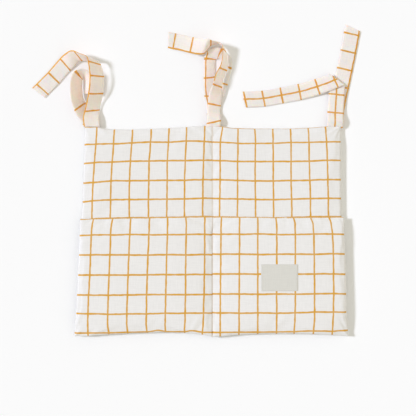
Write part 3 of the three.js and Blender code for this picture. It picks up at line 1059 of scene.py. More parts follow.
def thin_at_seams(pad: bpy.types.Object) -> None:
    """Notes on a pad where its cloths have to thin out, so that they don't cut through each other at a seam.

    Args:
        pad: the closed form, before its cloth is subdivided.
    """
    front, back, half = facing_pairs(pad)
    most = 0.9  # share of the way to the middle of the pad that a cloth may take up
    room = np.full(len(pad.data.vertices), THINNEST)
    room[front] = room[back] = np.clip(most * np.linalg.norm(half, axis=1) / CLOTH, THINNEST, 1)
    group = pad.vertex_groups.new(name="room")
    for number, share in enumerate(room):
        group.add([number], float(share), "REPLACE")


def cloth_of(pad: bpy.types.Object, name: str, is_back: bool) -> bpy.types.Object:
    """Takes the front or back cloth off a filled pad, with its thickness inwards.

    Args:
        pad: the filled form.
        name: the cloth's name.
        is_back: whether the back is taken.

    Returns:
        The cloth, closed all round.
    """
    cloth = copy_of(pad, name)
    keep_faces(cloth, noted(cloth, "back_face") == int(is_back))
    apply_modifier(cloth, "SOLIDIFY", thickness=CLOTH, offset=-1, use_even_offset=False, vertex_group="room")
    shade_smooth(cloth)
    return cloth


def wadding_of(pad: bpy.types.Object, name: str, inset: float) -> bpy.types.Object:
    """Makes the wadding that fills a pad.

    Args:
        pad: the form before its cloth is subdivided.
        name: the wadding's name.
        inset: how far it stays inside the pad's skin.

    Returns:
        The wadding.
    """
    fill = copy_of(pad, name)
    front, back, half = facing_pairs(fill)
    points = coordinates(fill)
    middle = points[front] - half
    least = 0.15  # share of the pad's thickness that it fills right at a seam
    share = np.maximum(1 - inset / np.maximum(np.linalg.norm(half, axis=1, keepdims=True), 1e-6), least)
    points[front], points[back] = middle + half * share, middle - half * share
    centre = (points[:, :2].max(axis=0) + points[:, :2].min(axis=0)) / 2
    reach = (points[:, :2].max(axis=0) - points[:, :2].min(axis=0)) / 2
    points[:, :2] = centre + (points[:, :2] - centre) * (1 - inset / reach)
    place(fill, points)
    shade_smooth(fill)
    Finish.WADDING.dress(fill)
    return fill


# Stitches

@dataclass
class StitchRow:
    """A row of lockstitches: short humps of thread that dip into the cloth between them."""

    name: str
    length: float = 2.6 * MM
    gap: float = 0.7 * MM
    thickness: float = 0.45 * MM
    look: float = 0.5 * MM        # how far ahead and back the row's direction is read

    def one(self) -> bpy.types.Object:
        """Models one stitch along X: a slim hump that is flatter underneath."""
        bpy.ops.object.select_all(action="DESELECT")
        bpy.ops.mesh.primitive_uv_sphere_add(segments=6, ring_count=6, radius=0.5, rotation=(0, math.pi / 2, 0))
        stitch = bpy.context.object
        bpy.ops.object.transform_apply(location=True, rotation=True, scale=True)
        points = coordinates(stitch)
        points[:, 2] += 0.5 * (1 - (2 * points[:, 0]) ** 2)
        place(stitch, points * (self.length, self.thickness, self.thickness))
        return stitch

    def along(self, path: Points, up: Points) -> bpy.types.Object:
        """Lays the row along a line on the cloth.

        Args:
            path: points along the seam.
            up: the direction away from the cloth at each point.

        Returns:
            The row as one piece.
        """
        steps = np.linalg.norm(np.diff(path, axis=0), axis=1)
        run = np.concatenate([[0], np.cumsum(steps)])
        count = int(run[-1] / (self.length + self.gap))
        middles = (np.arange(count) + 0.5) * run[-1] / count
        spots, ahead, behind, lift = (
            np.column_stack([np.interp(places, run, rows[:, i]) for i in range(3)])
            for places, rows in ((middles, path), (middles + self.look, path), (middles - self.look, path),
                                 (middles, up)))
        forward = ahead - behind
        forward /= np.linalg.norm(forward, axis=1, keepdims=True)
        lift -= forward * np.sum(forward * lift, axis=1, keepdims=True)
        lift /= np.linalg.norm(lift, axis=1, keepdims=True)
        sideways = np.cross(lift, forward)
        stitch = self.one()
        shape = coordinates(stitch)
        faces = [tuple(p.vertices) for p in stitch.data.polygons]
        bpy.data.objects.remove(stitch)
        turned = (shape[None, :, 0:1] * forward[:, None] + shape[None, :, 1:2] * sideways[:, None]
                  + shape[None, :, 2:3] * lift[:, None])
        every = [tuple(i + k * len(shape) for i in face) for k in range(count) for face in faces]
        row = add_piece(self.name, (spots[:, None] + turned).reshape(-1, 3), every)
        shade_smooth(row)
        Finish.THREAD.dress(row)
        return row


# The organizer's sub-assemblies

@dataclass
class Panel:
    """The padded panel: printed front, plain back, wadding, and the seam round its edge."""

    pattern: Pattern = field(default_factory=Pattern)
    columns: int = 124
    rows: int = 96
    push: float = 3.0
    slack: float = 0.009
    reach: float = 1.6 * MM
    inset: float = 1.0 * MM           # how far the wadding stays inside the panel's skin
    seam_allowance: float = 5 * MM    # of the flat covers, all round
    lying: float = 0.3 * MM           # points of the back lower than this lie on the surface
    seam_inset: float = 0.15 * MM     # how far inside the rim its stitches lie

    def build(self) -> BVHTree:
        """Makes the panel and its seams.

        Returns:
            The front's surface, for what lies on it.
        """
        shape = self.pattern
        maker = Pad("panel", self.columns, self.rows, -1, 1, -1, 1, shape.panel_faces, sections=2)
        pad = maker.sew()
        u, v = noted(pad, "u"), noted(pad, "v")
        rim = np.maximum(np.abs(u), np.abs(v)) > 1 - ON_SEAM
        start = coordinates(pad)
        maker.fill(pad, rim | (np.abs(u) < ON_SEAM), self.push, self.slack, self.reach)
        self.lay_flat(pad, start, ~rim)
        thin_at_seams(pad)
        print_map(pad, UPPER_LEFT, UPPER_RIGHT)
        fill = wadding_of(pad, "panel_fill", self.inset)
        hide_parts("panel_wadding")
        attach(fill, "panel")
        apply_modifier(pad, "SUBSURF", levels=1, render_levels=1)
        front = cloth_of(pad, "panel_front", False)
        back = cloth_of(pad, "panel_back", True)
        print_map(back, None, None)
        for piece, finish, node in ((front, Finish.PRINTED, "front_cover"), (back, Finish.PLAIN, "back_cover")):
            finish.dress(piece)
            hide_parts(node)
            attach(piece, "panel")
        surface = surface_of(front)
        bpy.data.objects.remove(pad)
        self.edge_seam()
        LOG.info("panel: front %d faces", len(front.data.polygons))
        return surface

    def lay_flat(self, pad: bpy.types.Object, start: Points, inside: Points) -> None:
        """Takes back what the filling pushed below the surface that the panel lies on.

        Args:
            pad: the filled form.
            start: where its points were before.
            inside: one truth value for each point, false at the rim.
        """
        points = coordinates(pad)
        rests = (noted(pad, "side") > 0.5) & inside & (start[:, 2] < self.lying)
        under = (points[:, 2] < 0.0) | rests
        points[under, 2] = np.maximum(start[under, 2], 0.0)
        place(pad, points)

    def edge_seam(self) -> None:
        """Stitches the covers together round the rim."""
        shape = self.pattern
        ring = square_ring(120)
        inset = 1 - self.seam_inset / shape.half_height
        x, y = shape.point(ring[:, 0] * inset, ring[:, 1] * inset)
        path = np.column_stack([x, y, np.full(len(x), shape.seam_height)])
        out = np.column_stack([np.where(np.abs(ring) > 1 - ON_SEAM, ring, 0), np.zeros(len(x))])
        row = StitchRow("edge_stitches").along(path, out + 1e-6)
        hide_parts("edge_seam_thread")
        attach(row, "panel")


@dataclass
class Pocket:
    """One padded pocket wall, sewn at its side, its bottom and the centre seam, and free at its mouth."""

    prefix: str
    sign: int                        # -1 on the left, and 1 on the right
    grid: PrintedGrid
    dip: tuple[float, ...]           # mm: depth of the mouth's sag, where it starts and ends, and the rise inside it
    pattern: Pattern = field(default_factory=Pattern)
    columns: int = 64
    rows: int = 58
    seam_side: float = 0.1 * MM      # from the middle of the centre seam to this wall's edge
    push: float = 2.0
    slack: float = 0.011
    reach: float = 1.6 * MM
    inset: float = 0.9 * MM          # how far the wadding stays inside the wall's skin
    dip_spread: float = 40 * MM      # how far below the mouth the cloth follows its sag
    least_gap: float = 0.4 * MM      # between the wall and the panel
    least_wall: float = 0.9 * MM     # thickness of the wall
    outer_start: float = 252 * MM    # from here, at the side seam,
    outer_end: float = 168 * MM      # to here the outer half comes to follow the opening pocket
    inner_start: float = 1 * MM      # and the inner half from the centre seam
    inner_end: float = 90 * MM
    parting: float = 128 * MM        # where the two halves meet
    seam_allowance: float = 4 * MM   # of each half's flat width, both sides together
    flat_height: float = 240 * MM    # from the bottom seam to the mouth, with its hem

    def build(self, panel: BVHTree) -> BVHTree:
        """Makes the wall over the panel.

        Args:
            panel: the panel's front surface.

        Returns:
            The wall's outer surface, for the label.
        """
        pad = self.padded_wall(panel)
        name = f"{self.prefix}_pocket"
        fill = wadding_of(pad, f"{name}_fill", self.inset)
        apply_modifier(pad, "SUBSURF", levels=1, render_levels=1)
        face = cloth_of(pad, f"{name}_front", False)
        Finish.PRINTED.dress(face)
        lining = cloth_of(pad, f"{name}_inside", True)
        print_map(lining, None, None)
        Finish.PLAIN.dress(lining)
        surface = surface_of(face)
        stitches = self.mouth_row(pad)
        bpy.data.objects.remove(pad)
        for piece, node in ((face, f"{name}_face"), (lining, f"{name}_lining"), (fill, f"{name}_wadding"),
                            (stitches, f"{self.prefix}_mouth_thread")):
            for half in self.halves(piece):
                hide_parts(node)
                if piece is fill:
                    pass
                elif piece is not stitches:
                    np.ptp(coordinates(half)[:, 0]) + self.seam_allowance
        LOG.info("%s pocket", self.prefix)
        return surface

    def padded_wall(self, panel: BVHTree) -> bpy.types.Object:
        """Sews the wall, fills it and lays it on the panel.

        Args:
            panel: the panel's front surface.

        Returns:
            The closed wall, before its cloth is subdivided.
        """
        shape = self.pattern
        inner = self.seam_side / shape.half_width
        outer = 1 + shape.overhang / shape.half_width
        left, right = (inner, outer) if self.sign > 0 else (-outer, -inner)
        bottom, top = -1 - shape.overhang / shape.half_height, shape.mouth / shape.half_height
        maker = Pad(f"{self.prefix}_pocket", self.columns, self.rows, left, right, bottom, top, shape.wall_faces)
        pad = maker.sew()
        u, v = noted(pad, "u"), noted(pad, "v")
        points = coordinates(pad)
        mouth_share = smooth_step(v * shape.half_height, shape.mouth - self.dip_spread, shape.mouth)
        points[:, 1] -= mouth_share * self.mouth_dip(points[:, 0])
        place(pad, points)
        held = (np.minimum(np.abs(u - left), np.abs(u - right)) < ON_SEAM) | (v < bottom + ON_SEAM)
        maker.fill(pad, held | (v > top - ON_SEAM), self.push, self.slack, self.reach)
        self.clear(pad, panel)
        thin_at_seams(pad)
        print_map(pad, self.grid, self.grid)
        return pad

    def mouth_dip(self, x: Points) -> Points:
        """How far the mouth hangs below its straight line, in metres."""
        depth, start, end, rise = np.array(self.dip) * MM
        return depth * smooth_step(self.sign * x, start, end) - rise

    def clear(self, pad: bpy.types.Object, panel: BVHTree) -> None:
        """Lifts the wall where it would cut into the panel, and its outer face by its least thickness more.

        Args:
            pad: the closed wall.
            panel: the panel's front surface.
        """
        points = coordinates(pad)
        lift = self.least_gap + np.where(noted(pad, "side") > 0.5, 0.0, self.least_wall)
        for i, (x, y, z) in enumerate(points):
            below = surface_height(panel, x, y, 0.0)
            if below > 0:
                points[i, 2] = max(z, below + lift[i])
        place(pad, points)

    def mouth_row(self, pad: bpy.types.Object) -> bpy.types.Object:
        """Stitches the mouth edge.

        Args:
            pad: the closed wall, subdivided.

        Returns:
            The row of stitches.
        """
        points = coordinates(pad)[noted(pad, "v") > self.pattern.mouth / self.pattern.half_height - ON_SEAM]
        points = points[np.argsort(points[:, 0])]
        points[:, 1] -= 0.1 * MM
        up = np.tile([0.0, 1.0, 0.15], (len(points), 1))
        return StitchRow(f"{self.prefix}_mouth_stitches").along(points, up)

    def across(self, piece: bpy.types.Object) -> Points:
        """Share across the panel of each face, from 0 in the middle, along the columns of the cloth.

        Args:
            piece: the mesh to read.

        Returns:
            One share for each face.
        """
        mesh = piece.data
        if "u" not in mesh.attributes:
            return np.abs(face_centres(piece)[:, 0]) / self.pattern.half_width
        corners = read(mesh.loops, "vertex_index", kind=np.int32)
        starts, totals = (read(mesh.polygons, key, kind=np.int32) for key in ("loop_start", "loop_total"))
        return np.abs(np.add.reduceat(noted(piece, "u")[corners], starts) / totals)

    def halves(self, piece: bpy.types.Object) -> list[bpy.types.Object]:
        """Parts a piece in the middle of the wall.

        Args:
            piece: the whole piece.

        Returns:
            The outer and the inner half.
        """
        normals = np.array([tuple(n.vector) for n in piece.data.corner_normals], dtype=np.float32)
        piece.data.attributes.new("shade", "FLOAT_VECTOR", "CORNER").data.foreach_set("vector", normals.ravel())
        found = []
        for word, start, end in (("outer", self.outer_start, self.outer_end),
                                 ("inner", self.inner_start, self.inner_end)):
            half = copy_of(piece, f"{piece.name}_{word}")
            outside = self.across(half) > self.parting / self.pattern.half_width
            keep_faces(half, outside if word == "outer" else ~outside)
            edit_all(half, bpy.ops.mesh.fill_holes, sides=0)
            kept = read(half.data.attributes["shade"].data, "vector", 3)
            half.data.normals_split_custom_set([tuple(n) for n in kept])
            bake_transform(half)
            found.append(half)
        bpy.data.objects.remove(piece)
        return found


@dataclass
class Label:
    """The bare woven label on the right pocket, sewn down near its edge."""

    width: float = 70 * MM
    height: float = 51 * MM
    centre: tuple[float, float] = (127.8 * MM, -88.9 * MM)
    thickness: float = 0.45 * MM
    inset: float = 3 * MM          # from its edge to its stitches
    corner: float = 1.2 * MM
    cells: tuple[int, int] = (48, 36)
    stiffness: float = 0.6         # share of the cloth's highest bump that it lies over
    level: float = 24 * MM         # height of a place past the pocket's edge

    def build(self, pocket: BVHTree) -> None:
        """Lays the label on the pocket.

        Args:
            pocket: the pocket's outer surface.
        """
        label = grid_of("woven_label", *self.cells)
        reach = np.array([self.width / 2, self.height / 2])
        flat = coordinates(label)[:, :2] * reach
        over = np.maximum(np.abs(flat) - (reach - self.corner), 0.0)
        out = np.linalg.norm(over, axis=1)
        pull = np.where((over.min(axis=1) > 0) & (out > self.corner), self.corner / np.maximum(out, 1e-9), 1.0)
        flat = np.sign(flat) * (np.minimum(np.abs(flat), reach - self.corner) + over * pull[:, None])
        x, y = (flat + self.centre).T
        place(label, np.column_stack([x, y, self.rest(pocket, x, y) + self.thickness]))
        label.data.uv_layers.active.name = "print"
        print_map(label, None, None)
        apply_modifier(label, "SOLIDIFY", thickness=self.thickness, offset=-1)
        shade_smooth(label)
        Finish.LABEL.dress(label)
        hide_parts("label")
        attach(label, "right_pocket")
        self.seam(pocket)

    def rest(self, pocket: BVHTree, x: Points, y: Points) -> Points:
        """Height of the pocket under the label, smoothed as a stiff label lies.

        Args:
            pocket: the pocket's outer surface.
            x: places across.
            y: places up.

        Returns:
            Heights of the label's underside.
        """
        below = np.array([surface_height(pocket, a, b, self.level) for a, b in zip(x, y)])
        terms = np.column_stack([np.ones_like(x), x, y, x * y, x * x, y * y])
        fitted = terms @ np.linalg.lstsq(terms, below, rcond=None)[0]
        return fitted + max(float((below - fitted).max()), 0.0) * self.stiffness

    def seam(self, pocket: BVHTree) -> None:
        """Stitches round the label, near its edge.

        Args:
            pocket: the pocket's outer surface.
        """
        half = np.array([self.width / 2 - self.inset, self.height / 2 - self.inset])
        x, y = (square_ring(60) * half + self.centre).T
        path = np.column_stack([x, y, self.rest(pocket, x, y) + self.thickness + 0.05 * MM])
        row = StitchRow("label_stitches", length=2.2 * MM, thickness=0.35 * MM)
        piece = row.along(path, np.tile([0.0, 0.0, 1.0], (len(path), 1)))
        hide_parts("label_thread")
        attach(piece, "right_pocket")


@dataclass
class Tie:
    """One folded and stitched cotton tie, laid along a smooth path through its stops.

    Each stop is the middle of the tie in millimetres: across and along from its root, and height above the surface.
    Then come the heading of its right-hand edge and how far that edge is tipped up, in degrees. Where they are
    given, the angle between the section and the tie's length follows, which is not 90 at a slanting fold, and the
    share of its width that a curled tie shows.
    """

    name: str
    parent: str
    root: tuple[float, float, float]
    stops: tuple[tuple[float, ...], ...]
    lines: tuple[tuple[float, float], ...]       # the lines across it: mm from the root, and their slant
    front_line: tuple[tuple[float, float], ...]  # the line along its upper face: mm from the root and the left edge
    back_line: float                             # mm from the left edge to the line along its other face
    width: float = 31 * MM
    thickness: float = 1.3 * MM
    tuck: float = 3.5 * MM       # how deep its end sits in the edge seam
    bend: float = 25 * MM        # how far from the root it bends when it is lifted
    steps: int = 10              # rings between two stops
    columns: int = 10            # cells across a face
    edge_share: float = 0.14     # thickness left at its folded edges
    edge_power: int = 10         # how late a section thins out towards them

    def span(self, share: float) -> tuple[int, float]:
        """Finds the stop before a share of the way, and the share of the way from it to the next one."""
        here = min(int(share * (len(self.stops) - 1)), len(self.stops) - 2)
        return here, share * (len(self.stops) - 1) - here

    def path(self, share: float) -> Points:
        """Middle of the tie at a share of its stops, on a centripetal Catmull-Rom curve.

        Args:
            share: from 0 at the root to 1 at the end.

        Returns:
            The point.
        """
        knots = np.array([stop[:3] for stop in self.stops]) * MM + (self.root[0], self.root[1], 0)
        knots[0, 2] = self.root[2]
        here, t = self.span(share)
        b, c = knots[here], knots[here + 1]
        a = knots[here - 1] if here > 0 else 2 * b - c
        d = knots[here + 2] if here + 2 < len(knots) else 2 * c - b
        before, own, after = (max(float(np.linalg.norm(q - p)) ** 0.5, 1e-4) for p, q in ((a, b), (b, c), (c, d)))
        leave = (b - a) / before - (c - a) / (before + own) + (c - b) / own
        arrive = (c - b) / own - (d - b) / (own + after) + (d - c) / after
        return hermite(t, b, c, leave * own, arrive * own)

    def value(self, share: float, column: int, otherwise: float = 0.0) -> float:
        """Reads a column of the stops, eased between them.

        Args:
            share: from 0 at the root to 1 at the end.
            column: which value of the stops.
            otherwise: the value of stops that give none.

        Returns:
            The value.
        """
        values = [stop[column] if len(stop) > column else otherwise for stop in self.stops]
        here, t = self.span(share)
        b, c = values[here], values[here + 1]
        a = values[here - 1] if here > 0 else b
        d = values[here + 2] if here + 2 < len(values) else c
        leave = (c - a) / 2 if (b - a) * (c - b) > 0 else 0.0
        arrive = (d - b) / 2 if (c - b) * (d - c) > 0 else 0.0
        return hermite(t, b, c, leave, arrive)

    def lines_passed(self, along: Points, across: Points) -> Points:
        """Counts the printed lines between the root and points of the tie, whole numbers where a line runs.

        Args:
            along: how far along the tie, in metres.
            across: from -1 at the left edge to 1 at the right.

        Returns:
            The counts. Every line comes out at its true width, however far apart the lines are.
        """
        places = np.array([at + slant * across for at, slant in self.lines]) * MM
        count = (along - places[0]) / SQUARE
        for k, gap in enumerate(np.diff(places, axis=0)):
            t = (along - places[k]) / gap
            count = np.where(t > 0, hermite(t, k, k + 1, gap / SQUARE, gap / SQUARE), count)
        return np.where(along > places[-1], len(places) - 1 + (along - places[-1]) / SQUARE, count)

    def sections(self) -> tuple[Points, Points, float]:
        """Cuts the tie into rings of points.

        Returns:
            The rings, their print coordinates and the tie's length.
        """
        half = np.linspace(-1, 1, self.columns + 1)
        across = np.concatenate([half[::-1], half])  # top face from the right edge to the left, then back under
        is_top = np.arange(len(across)) < len(half)
        rise = np.sqrt(1 - np.abs(across) ** self.edge_power) * (1 - self.edge_share) + self.edge_share
        bulge = np.where(is_top, rise, -rise) * self.thickness / 2
        from_left = (across + 1) / 2 * self.width
        rings, prints = [], []
        count = (len(self.stops) - 1) * self.steps
        run = -self.tuck
        last = None
        for step in range(-1, count + 1):
            share = max(step, 0) / count
            heading, tip, angle = (math.radians(self.value(share, *spec)) for spec in ((3,), (4,), (5, 90.0)))
            right = np.array([math.cos(tip) * math.cos(heading), math.cos(tip) * math.sin(heading), math.sin(tip)])
            ahead = self.path(min(share + 1e-3, 1)) - self.path(max(share - 1e-3, 0)) if step > 0 else UP_PANEL
            middle = self.path(share) - (ahead * self.tuck if step < 0 else 0)
            through = np.cross(right, ahead)
            through /= np.linalg.norm(through)
            run += float(np.linalg.norm(middle - last)) if last is not None else 0.0
            last = middle
            reach = self.width / 2 / math.sin(angle) * self.value(share, 6, 1.0)
            rings.append(middle + np.outer(across * reach, right) + np.outer(bulge, through))
            line = np.where(is_top, np.interp(run / MM, *np.array(self.front_line).T), self.back_line) * MM
            along = run - across * reach * math.cos(angle)
            prints.append(np.column_stack([(from_left - line) / SQUARE, self.lines_passed(along, across)]))
        return np.array(rings), np.array(prints), run

    def build(self) -> None:
        """Makes the tie."""
        rings, prints, length = self.sections()
        count, sides = rings.shape[:2]
        strips = [[(ring, side), (ring, (side + 1) % sides), (ring + 1, (side + 1) % sides), (ring + 1, side)]
                  for ring in range(count - 1) for side in range(sides)]
        for ring, order in ((0, 1), (count - 1, -1)):
            strips += [[(ring, k) for k in (side, side + 1, sides - 2 - side, sides - 1 - side)][::order]
                       for side in range(sides // 2 - 1)]
        faces = [tuple(ring * sides + side for ring, side in strip) for strip in strips]
        tie = add_piece(self.name, rings.reshape(-1, 3), faces)
        layer = tie.data.uv_layers.new(name="print")
        corner_uv = [prints[place_in] for strip in strips for place_in in strip]
        layer.data.foreach_set("uv", np.array(corner_uv, dtype=np.float32).ravel())
        edit_all(tie, bpy.ops.mesh.normals_make_consistent, inside=False)
        shade_smooth(tie)
        Finish.PRINTED_TIE.dress(tie)
        node = self.name.replace("_strap", "_tie")
        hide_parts(node)
        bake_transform(tie)
        LOG.info("%s: %.0f mm", self.name, length / MM)


ROOT_Y = 200.5 * MM      # where the ties leave the top edge
BACK_LEVEL = 5.9 * MM    # and how high
FRONT_LEVEL = 8.1 * MM
LEFT_X, MIDDLE_X, RIGHT_X = -231 * MM, 2 * MM, 235 * MM

TIES = (
    Tie("left_front_strap", "left_back_tie", (LEFT_X, ROOT_Y, FRONT_LEVEL), (
        (0, 0, 0, 0, 0), (-1, 15.5, 10.9, 2, -10), (1, 30.5, 10.8, 3, -28), (5, 47.5, 12.4, 2, -31),
        (9, 64.5, 17, 0, -28), (11, 81.5, 20.5, 0, -30), (11, 97.5, 21.5, -2, -33), (8, 113.5, 21.5, -8, -38),
        (3, 126.5, 21.5, -16, -46), (-13, 130.5, 19, -38, -50), (-30, 133.5, 14.5, -54, -42),
        (-42, 126.5, 8.5, -53, -22), (-52, 118.5, 3, -49, -4), (-75, 92.5, 1.5, -45, 0), (-91, 76.5, 1.4, -44, 0),
        (-103, 64.5, 1.8, -38, 0)),
        lines=((-2.8, 0), (30, 1.6), (63.5, 1), (97, 0.3), (122, 0), (160, 0), (194, 0), (228, 0), (259, 0)),
        front_line=((0, 0.8),), back_line=0.8, tuck=1.0 * MM),
    Tie("left_back_strap", "panel", (LEFT_X, ROOT_Y, BACK_LEVEL), (
        (0, 0, 0, 0, 0), (-9, 16.5, 5.6, 14, -7), (-19, 32.5, 9.6, 22, -30), (-27, 50.5, 12.4, 12, -44),
        (-29.3, 69.5, 12.7, 0, -47), (-28.7, 84.5, 12.9, -14, -49), (-25.6, 95, 13.6, -38, -54),
        (-18.4, 99.3, 13.6, -86, -55), (-11, 97, 12.8, -130, -53, 90, 0.97), (-7, 86.5, 10.9, -168, -47, 90, 0.86),
        (-6, 73, 9.7, -180, -41, 90, 0.86), (-6, 62, 8, -184, -35, 90, 0.8)),
        lines=((44, 4.5), (106, 0), (168, 0)), front_line=((0, -2.6),), back_line=-2.6),
    Tie("middle_front_strap", "middle_back_tie", (MIDDLE_X, ROOT_Y, FRONT_LEVEL), (
        (0, 0, 0, 0, 0, 90, 0.9), (1, 9.5, 10.6, 4, -3, 90, 0.88), (1.2, 27.5, 6.6, -4, -14, 90, 0.84),
        (2, 42, 7.6, -9, -19, 90, 0.86), (4, 58, 11.2, -15, -22, 90, 0.87), (8, 76.5, 15, -20, -43, 90, 0.85),
        (11.8, 95, 14.4, -24, -50, 90, 0.82), (20.6, 113, 12.8, -28, -50, 90, 0.78),
        (22, 128, 12.8, -28, -57, 90, 0.7), (21.6, 141.5, 13.6, -28, -63, 90, 0.68),
        (18.2, 152.6, 14, -42, -76, 90, 0.68),
        (10.7, 157.8, 14.6, -62, -84, 90, 0.68), (2, 158.8, 15.4, -80, -80, 90, 0.7),
        (-4.6, 157.8, 18.2, -90, -72, 90, 0.76), (-10.3, 155.4, 20.5, -93, -50, 90, 0.92),
        (-17, 151.2, 19, -97, -25), (-26, 151.5, 15, -101, -16), (-42, 155.5, 8.5, -102, -5),
        (-60, 160.5, 4, -102, 0), (-74, 163.5, 1.6, -101, 0), (-87, 166.5, 1.6, -92, 0)),
        lines=((8, 2.1), (42.5, 0), (79, 0.8), (113, 2.3), (149, 0), (184.5, 0), (225.5, 0), (261, 0)),
        front_line=((82, -2.6), (84, 0.8), (212, 0.8), (226, -0.7)), back_line=29.5, tuck=0.7 * MM),
    Tie("middle_back_strap", "panel", (MIDDLE_X, ROOT_Y, BACK_LEVEL), (
        (0, 0, 0, 0, 0, 90, 0.9), (0, 16.5, 3.4, 0, 0, 90, 0.8), (-1, 30, 1.7, 0, 0, 90, 0.76),
        (-2, 45, 1.6, 3, 0, 90, 0.78), (-5, 59.5, 1.8, 3, -2, 90, 0.8), (-7, 80, 2.8, 4, -8, 90, 0.78),
        (-7, 95, 3.6, 4, -12, 90, 0.77), (-7, 115, 4, 3, -15, 90, 0.77), (-6.5, 127.6, 4.4, -2, -16, 90, 0.77),
        (-2.7, 137.4, 4.6, -45, -15, 90, 0.76), (9.8, 140.2, 4.2, -102, -13, 90, 0.74),
        (17.2, 136.2, 2.1, -132, 0, 90, 0.56), (25, 127.5, 1.8, -165, 0, 90, 0.7),
        (24, 110.5, 1.8, -188, 0, 90, 0.71), (17.5, 89.5, 2.6, -194, 2, 90, 0.78),
        (12.5, 73.5, 3.9, -195, 3, 90, 0.81),
        (8.5, 60.5, 3.9, -195, 0, 90, 0.81)),
        lines=((24, 0), (59.3, 0), (94.6, 0.8), (130.5, 1), (154, -1), (186, -2), (219, 0)),
        front_line=((137, 5), (139, -2.6)), back_line=16),
    Tie("right_front_strap", "right_back_tie", (RIGHT_X, ROOT_Y, FRONT_LEVEL), (
        (0, 0, 0, 0, 0), (0.4, 9.5, 10.4, -2, 0), (1.2, 27.5, 5.6, -5, 0), (3, 52.5, 5, -6, 0), (4, 72, 4.8, -6, 0),
        (5.0, 86.6, 5.0, -37.5, 0, 58.5), (5.1, 88.4, 5.6, -37.5, 0, 58.5), (4.6, 89.6, 6.9, -37.5, 0, 58.5),
        (3.4, 89.7, 8.2, -37.5, 0, 58.5), (1.6, 89.1, 8.8, -37.5, 0, 58.5), (-10.5, 84, 7.8, -68, 0),
        (-35, 75.5, 5, -72, 0), (-67, 66.4, 2.2, -78, 0), (-103, 59.5, 1.5, -79, 0), (-138, 53.5, 1.5, -79, 0),
        (-169, 52.0, 1.7, -78, 0), (-175, 52, 1.8, -78, 0)),
        lines=tuple((27 + 35.3 * k, 0) for k in range(8)), front_line=((0, 15),), back_line=15, tuck=1.0 * MM),
    Tie("right_back_strap", "panel", (RIGHT_X, ROOT_Y, BACK_LEVEL), (
        (0, 0, 0, 0, 0), (1, 9.5, 8, -2, 0), (3, 27.5, 3, -6, 0), (7.2, 51.5, 1.9, -9, 0), (12, 73.5, 1.4, -12, 0),
        (19.6, 109.5, 1.4, -13, 0), (26.8, 144.5, 1.4, -12, 0), (33, 178.5, 1.8, -14, 0), (35, 189.5, 2.2, -25, 0)),
        lines=tuple((9 + 34.6 * k, 0) for k in range(6)), front_line=((0, 29),), back_line=29),
)


@dataclass
class CentreSeam:
    """The row of stitches down the middle, in the valley that it pulls into panel and pockets."""

    pattern: Pattern = field(default_factory=Pattern)
    end_inset: float = 1.5 * MM    # from the panel's edges to the row's ends
    lift: float = 0.1 * MM         # of the thread over the cloth
    strip: float = 2.0 * MM        # thickness of the pocket strip at the seam

    def build(self, panel: BVHTree) -> None:
        """Lays the row on the panel above the mouth and on the pocket strip below it.

        Args:
            panel: the panel's front surface.
        """
        shape = self.pattern
        y = np.linspace(shape.half_height - self.end_inset, -shape.half_height + self.end_inset, 240)
        base = np.array([surface_height(panel, 0.0, level, shape.seam_height) for level in y])
        on_strip = smooth_step(-y, -shape.mouth, -shape.mouth + 1.5 * MM)
        path = np.column_stack([np.zeros_like(y), y, base + self.lift + on_strip * self.strip])
        row = StitchRow("centre_stitches").along(path, np.tile([0.0, 0.0, 1.0], (len(path), 1)))
        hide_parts("centre_seam_thread")
        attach(row, "panel")


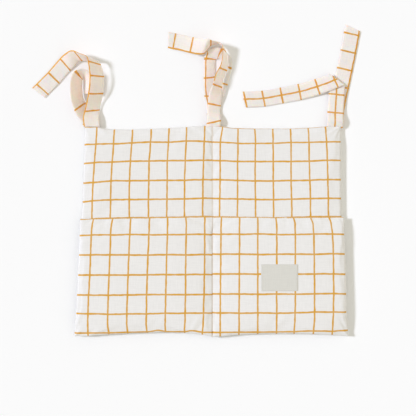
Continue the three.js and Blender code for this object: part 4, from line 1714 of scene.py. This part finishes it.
@dataclass
class Studio:
    """White paper, a soft key lamp low on the left, an even warm fill, and the camera straight above."""

    centre: tuple[float, float] = (-8.3 * MM, 43.8 * MM)  # the place that the camera is above
    distance: float = 1.89
    lens: float = 85.0
    floor_size: float = 12.0
    key_height: float = 36.0   # degrees above the table
    key_turn: float = 10.0     # degrees that the key stands above the left
    key_softness: float = 8.0  # degrees across
    key_share: tuple[float, float, float] = (0.37, 0.388, 0.45)
    fill_share: tuple[float, float, float] = (0.63, 0.612, 0.55)
    fill_from: tuple[float, float, float] = (0.8, 0.0, 0.6)  # the fill is stronger from the right and above
    fill_slope: float = 0.75
    fill_base: float = 0.70
    backdrop: tuple[float, float, float, float] = (0.96, 0.96, 0.96, 1.0)  # what is seen past the paper's edge

    def build(self) -> None:
        """Sets up the floor, the light and the camera."""
        bpy.ops.object.select_all(action="DESELECT")
        bpy.ops.mesh.primitive_plane_add(size=self.floor_size, location=(0, 0, 0))
        floor = bpy.context.object
        floor.name = "floor"
        floor.data.materials.append(Paper().build())
        self.fill()
        self.key()
        camera = self.stand("camera", bpy.data.cameras.new("camera"))
        camera.data.lens = self.lens
        camera.location = (*self.centre, self.distance)
        bpy.context.scene.camera = camera
        bpy.context.scene.view_settings.view_transform = "Standard"

    @staticmethod
    def stand(name: str, data: object) -> bpy.types.Object:
        """Puts a lamp or a camera in the scene."""
        item = bpy.data.objects.new(name, data)
        bpy.context.scene.collection.objects.link(item)
        return item

    def fill(self) -> None:
        """Sets up the even fill, and the pale backdrop that the camera sees."""
        world = bpy.data.worlds.new("even_fill")
        world.use_nodes = True
        bpy.context.scene.world = world
        tree = world.node_tree
        direction = add_node(tree, "ShaderNodeTexCoord").outputs["Generated"]
        side = add_node(tree, "ShaderNodeVectorMath", {0: direction, 1: self.fill_from}, operation="DOT_PRODUCT")
        level = maths(tree, "MULTIPLY_ADD", side.outputs["Value"], self.fill_slope, self.fill_base)
        fill = tree.nodes["Background"]
        fill.inputs["Color"].default_value = (*self.fill_share, 1)
        tree.links.new(maths(tree, "MAXIMUM", level, 0.0), fill.inputs["Strength"])
        ray = add_node(tree, "ShaderNodeLightPath").outputs
        seen = ray["Is Camera Ray"]
        for other in ("Is Glossy Ray", "Is Transmission Ray"):
            seen = maths(tree, "MAXIMUM", seen, ray[other])
        backdrop = add_node(tree, "ShaderNodeBackground", {"Color": self.backdrop}).outputs[0]
        shown = add_node(tree, "ShaderNodeMixShader", {0: seen, 1: fill.outputs[0], 2: backdrop}).outputs[0]
        tree.links.new(shown, tree.nodes["World Output"].inputs["Surface"])

    def key(self) -> None:
        """Sets up the key lamp, which lights the table by its share whatever its height."""
        level, turn = math.radians(self.key_height), math.radians(self.key_turn)
        key = self.stand("key", bpy.data.lights.new("key", "SUN"))
        strength = max(self.key_share)
        key.data.color = [c / strength for c in self.key_share]
        key.data.energy = strength * math.pi / math.sin(level)
        key.data.angle = math.radians(self.key_softness)
        travel = Vector((math.cos(level) * math.cos(turn), -math.cos(level) * math.sin(turn), -math.sin(level)))
        key.rotation_euler = travel.to_track_quat("-Z", "Y").to_euler()


def main() -> None:
    """Builds the organizer and its setting."""
    logging.basicConfig(level=logging.INFO, format="%(name)s: %(message)s")
    Studio().build()
    panel = Panel().build()
    Pocket("left", -1, POCKET_LEFT, dip=(5.0, 30, 250, 0.7)).build(panel)
    face = Pocket("right", 1, POCKET_RIGHT, dip=(1.3, 20, 110, 0.4)).build(panel)
    Label().build(face)
    CentreSeam().build(panel)
    for tie in TIES:
        tie.build()


if __name__ == "__main__":
    main()
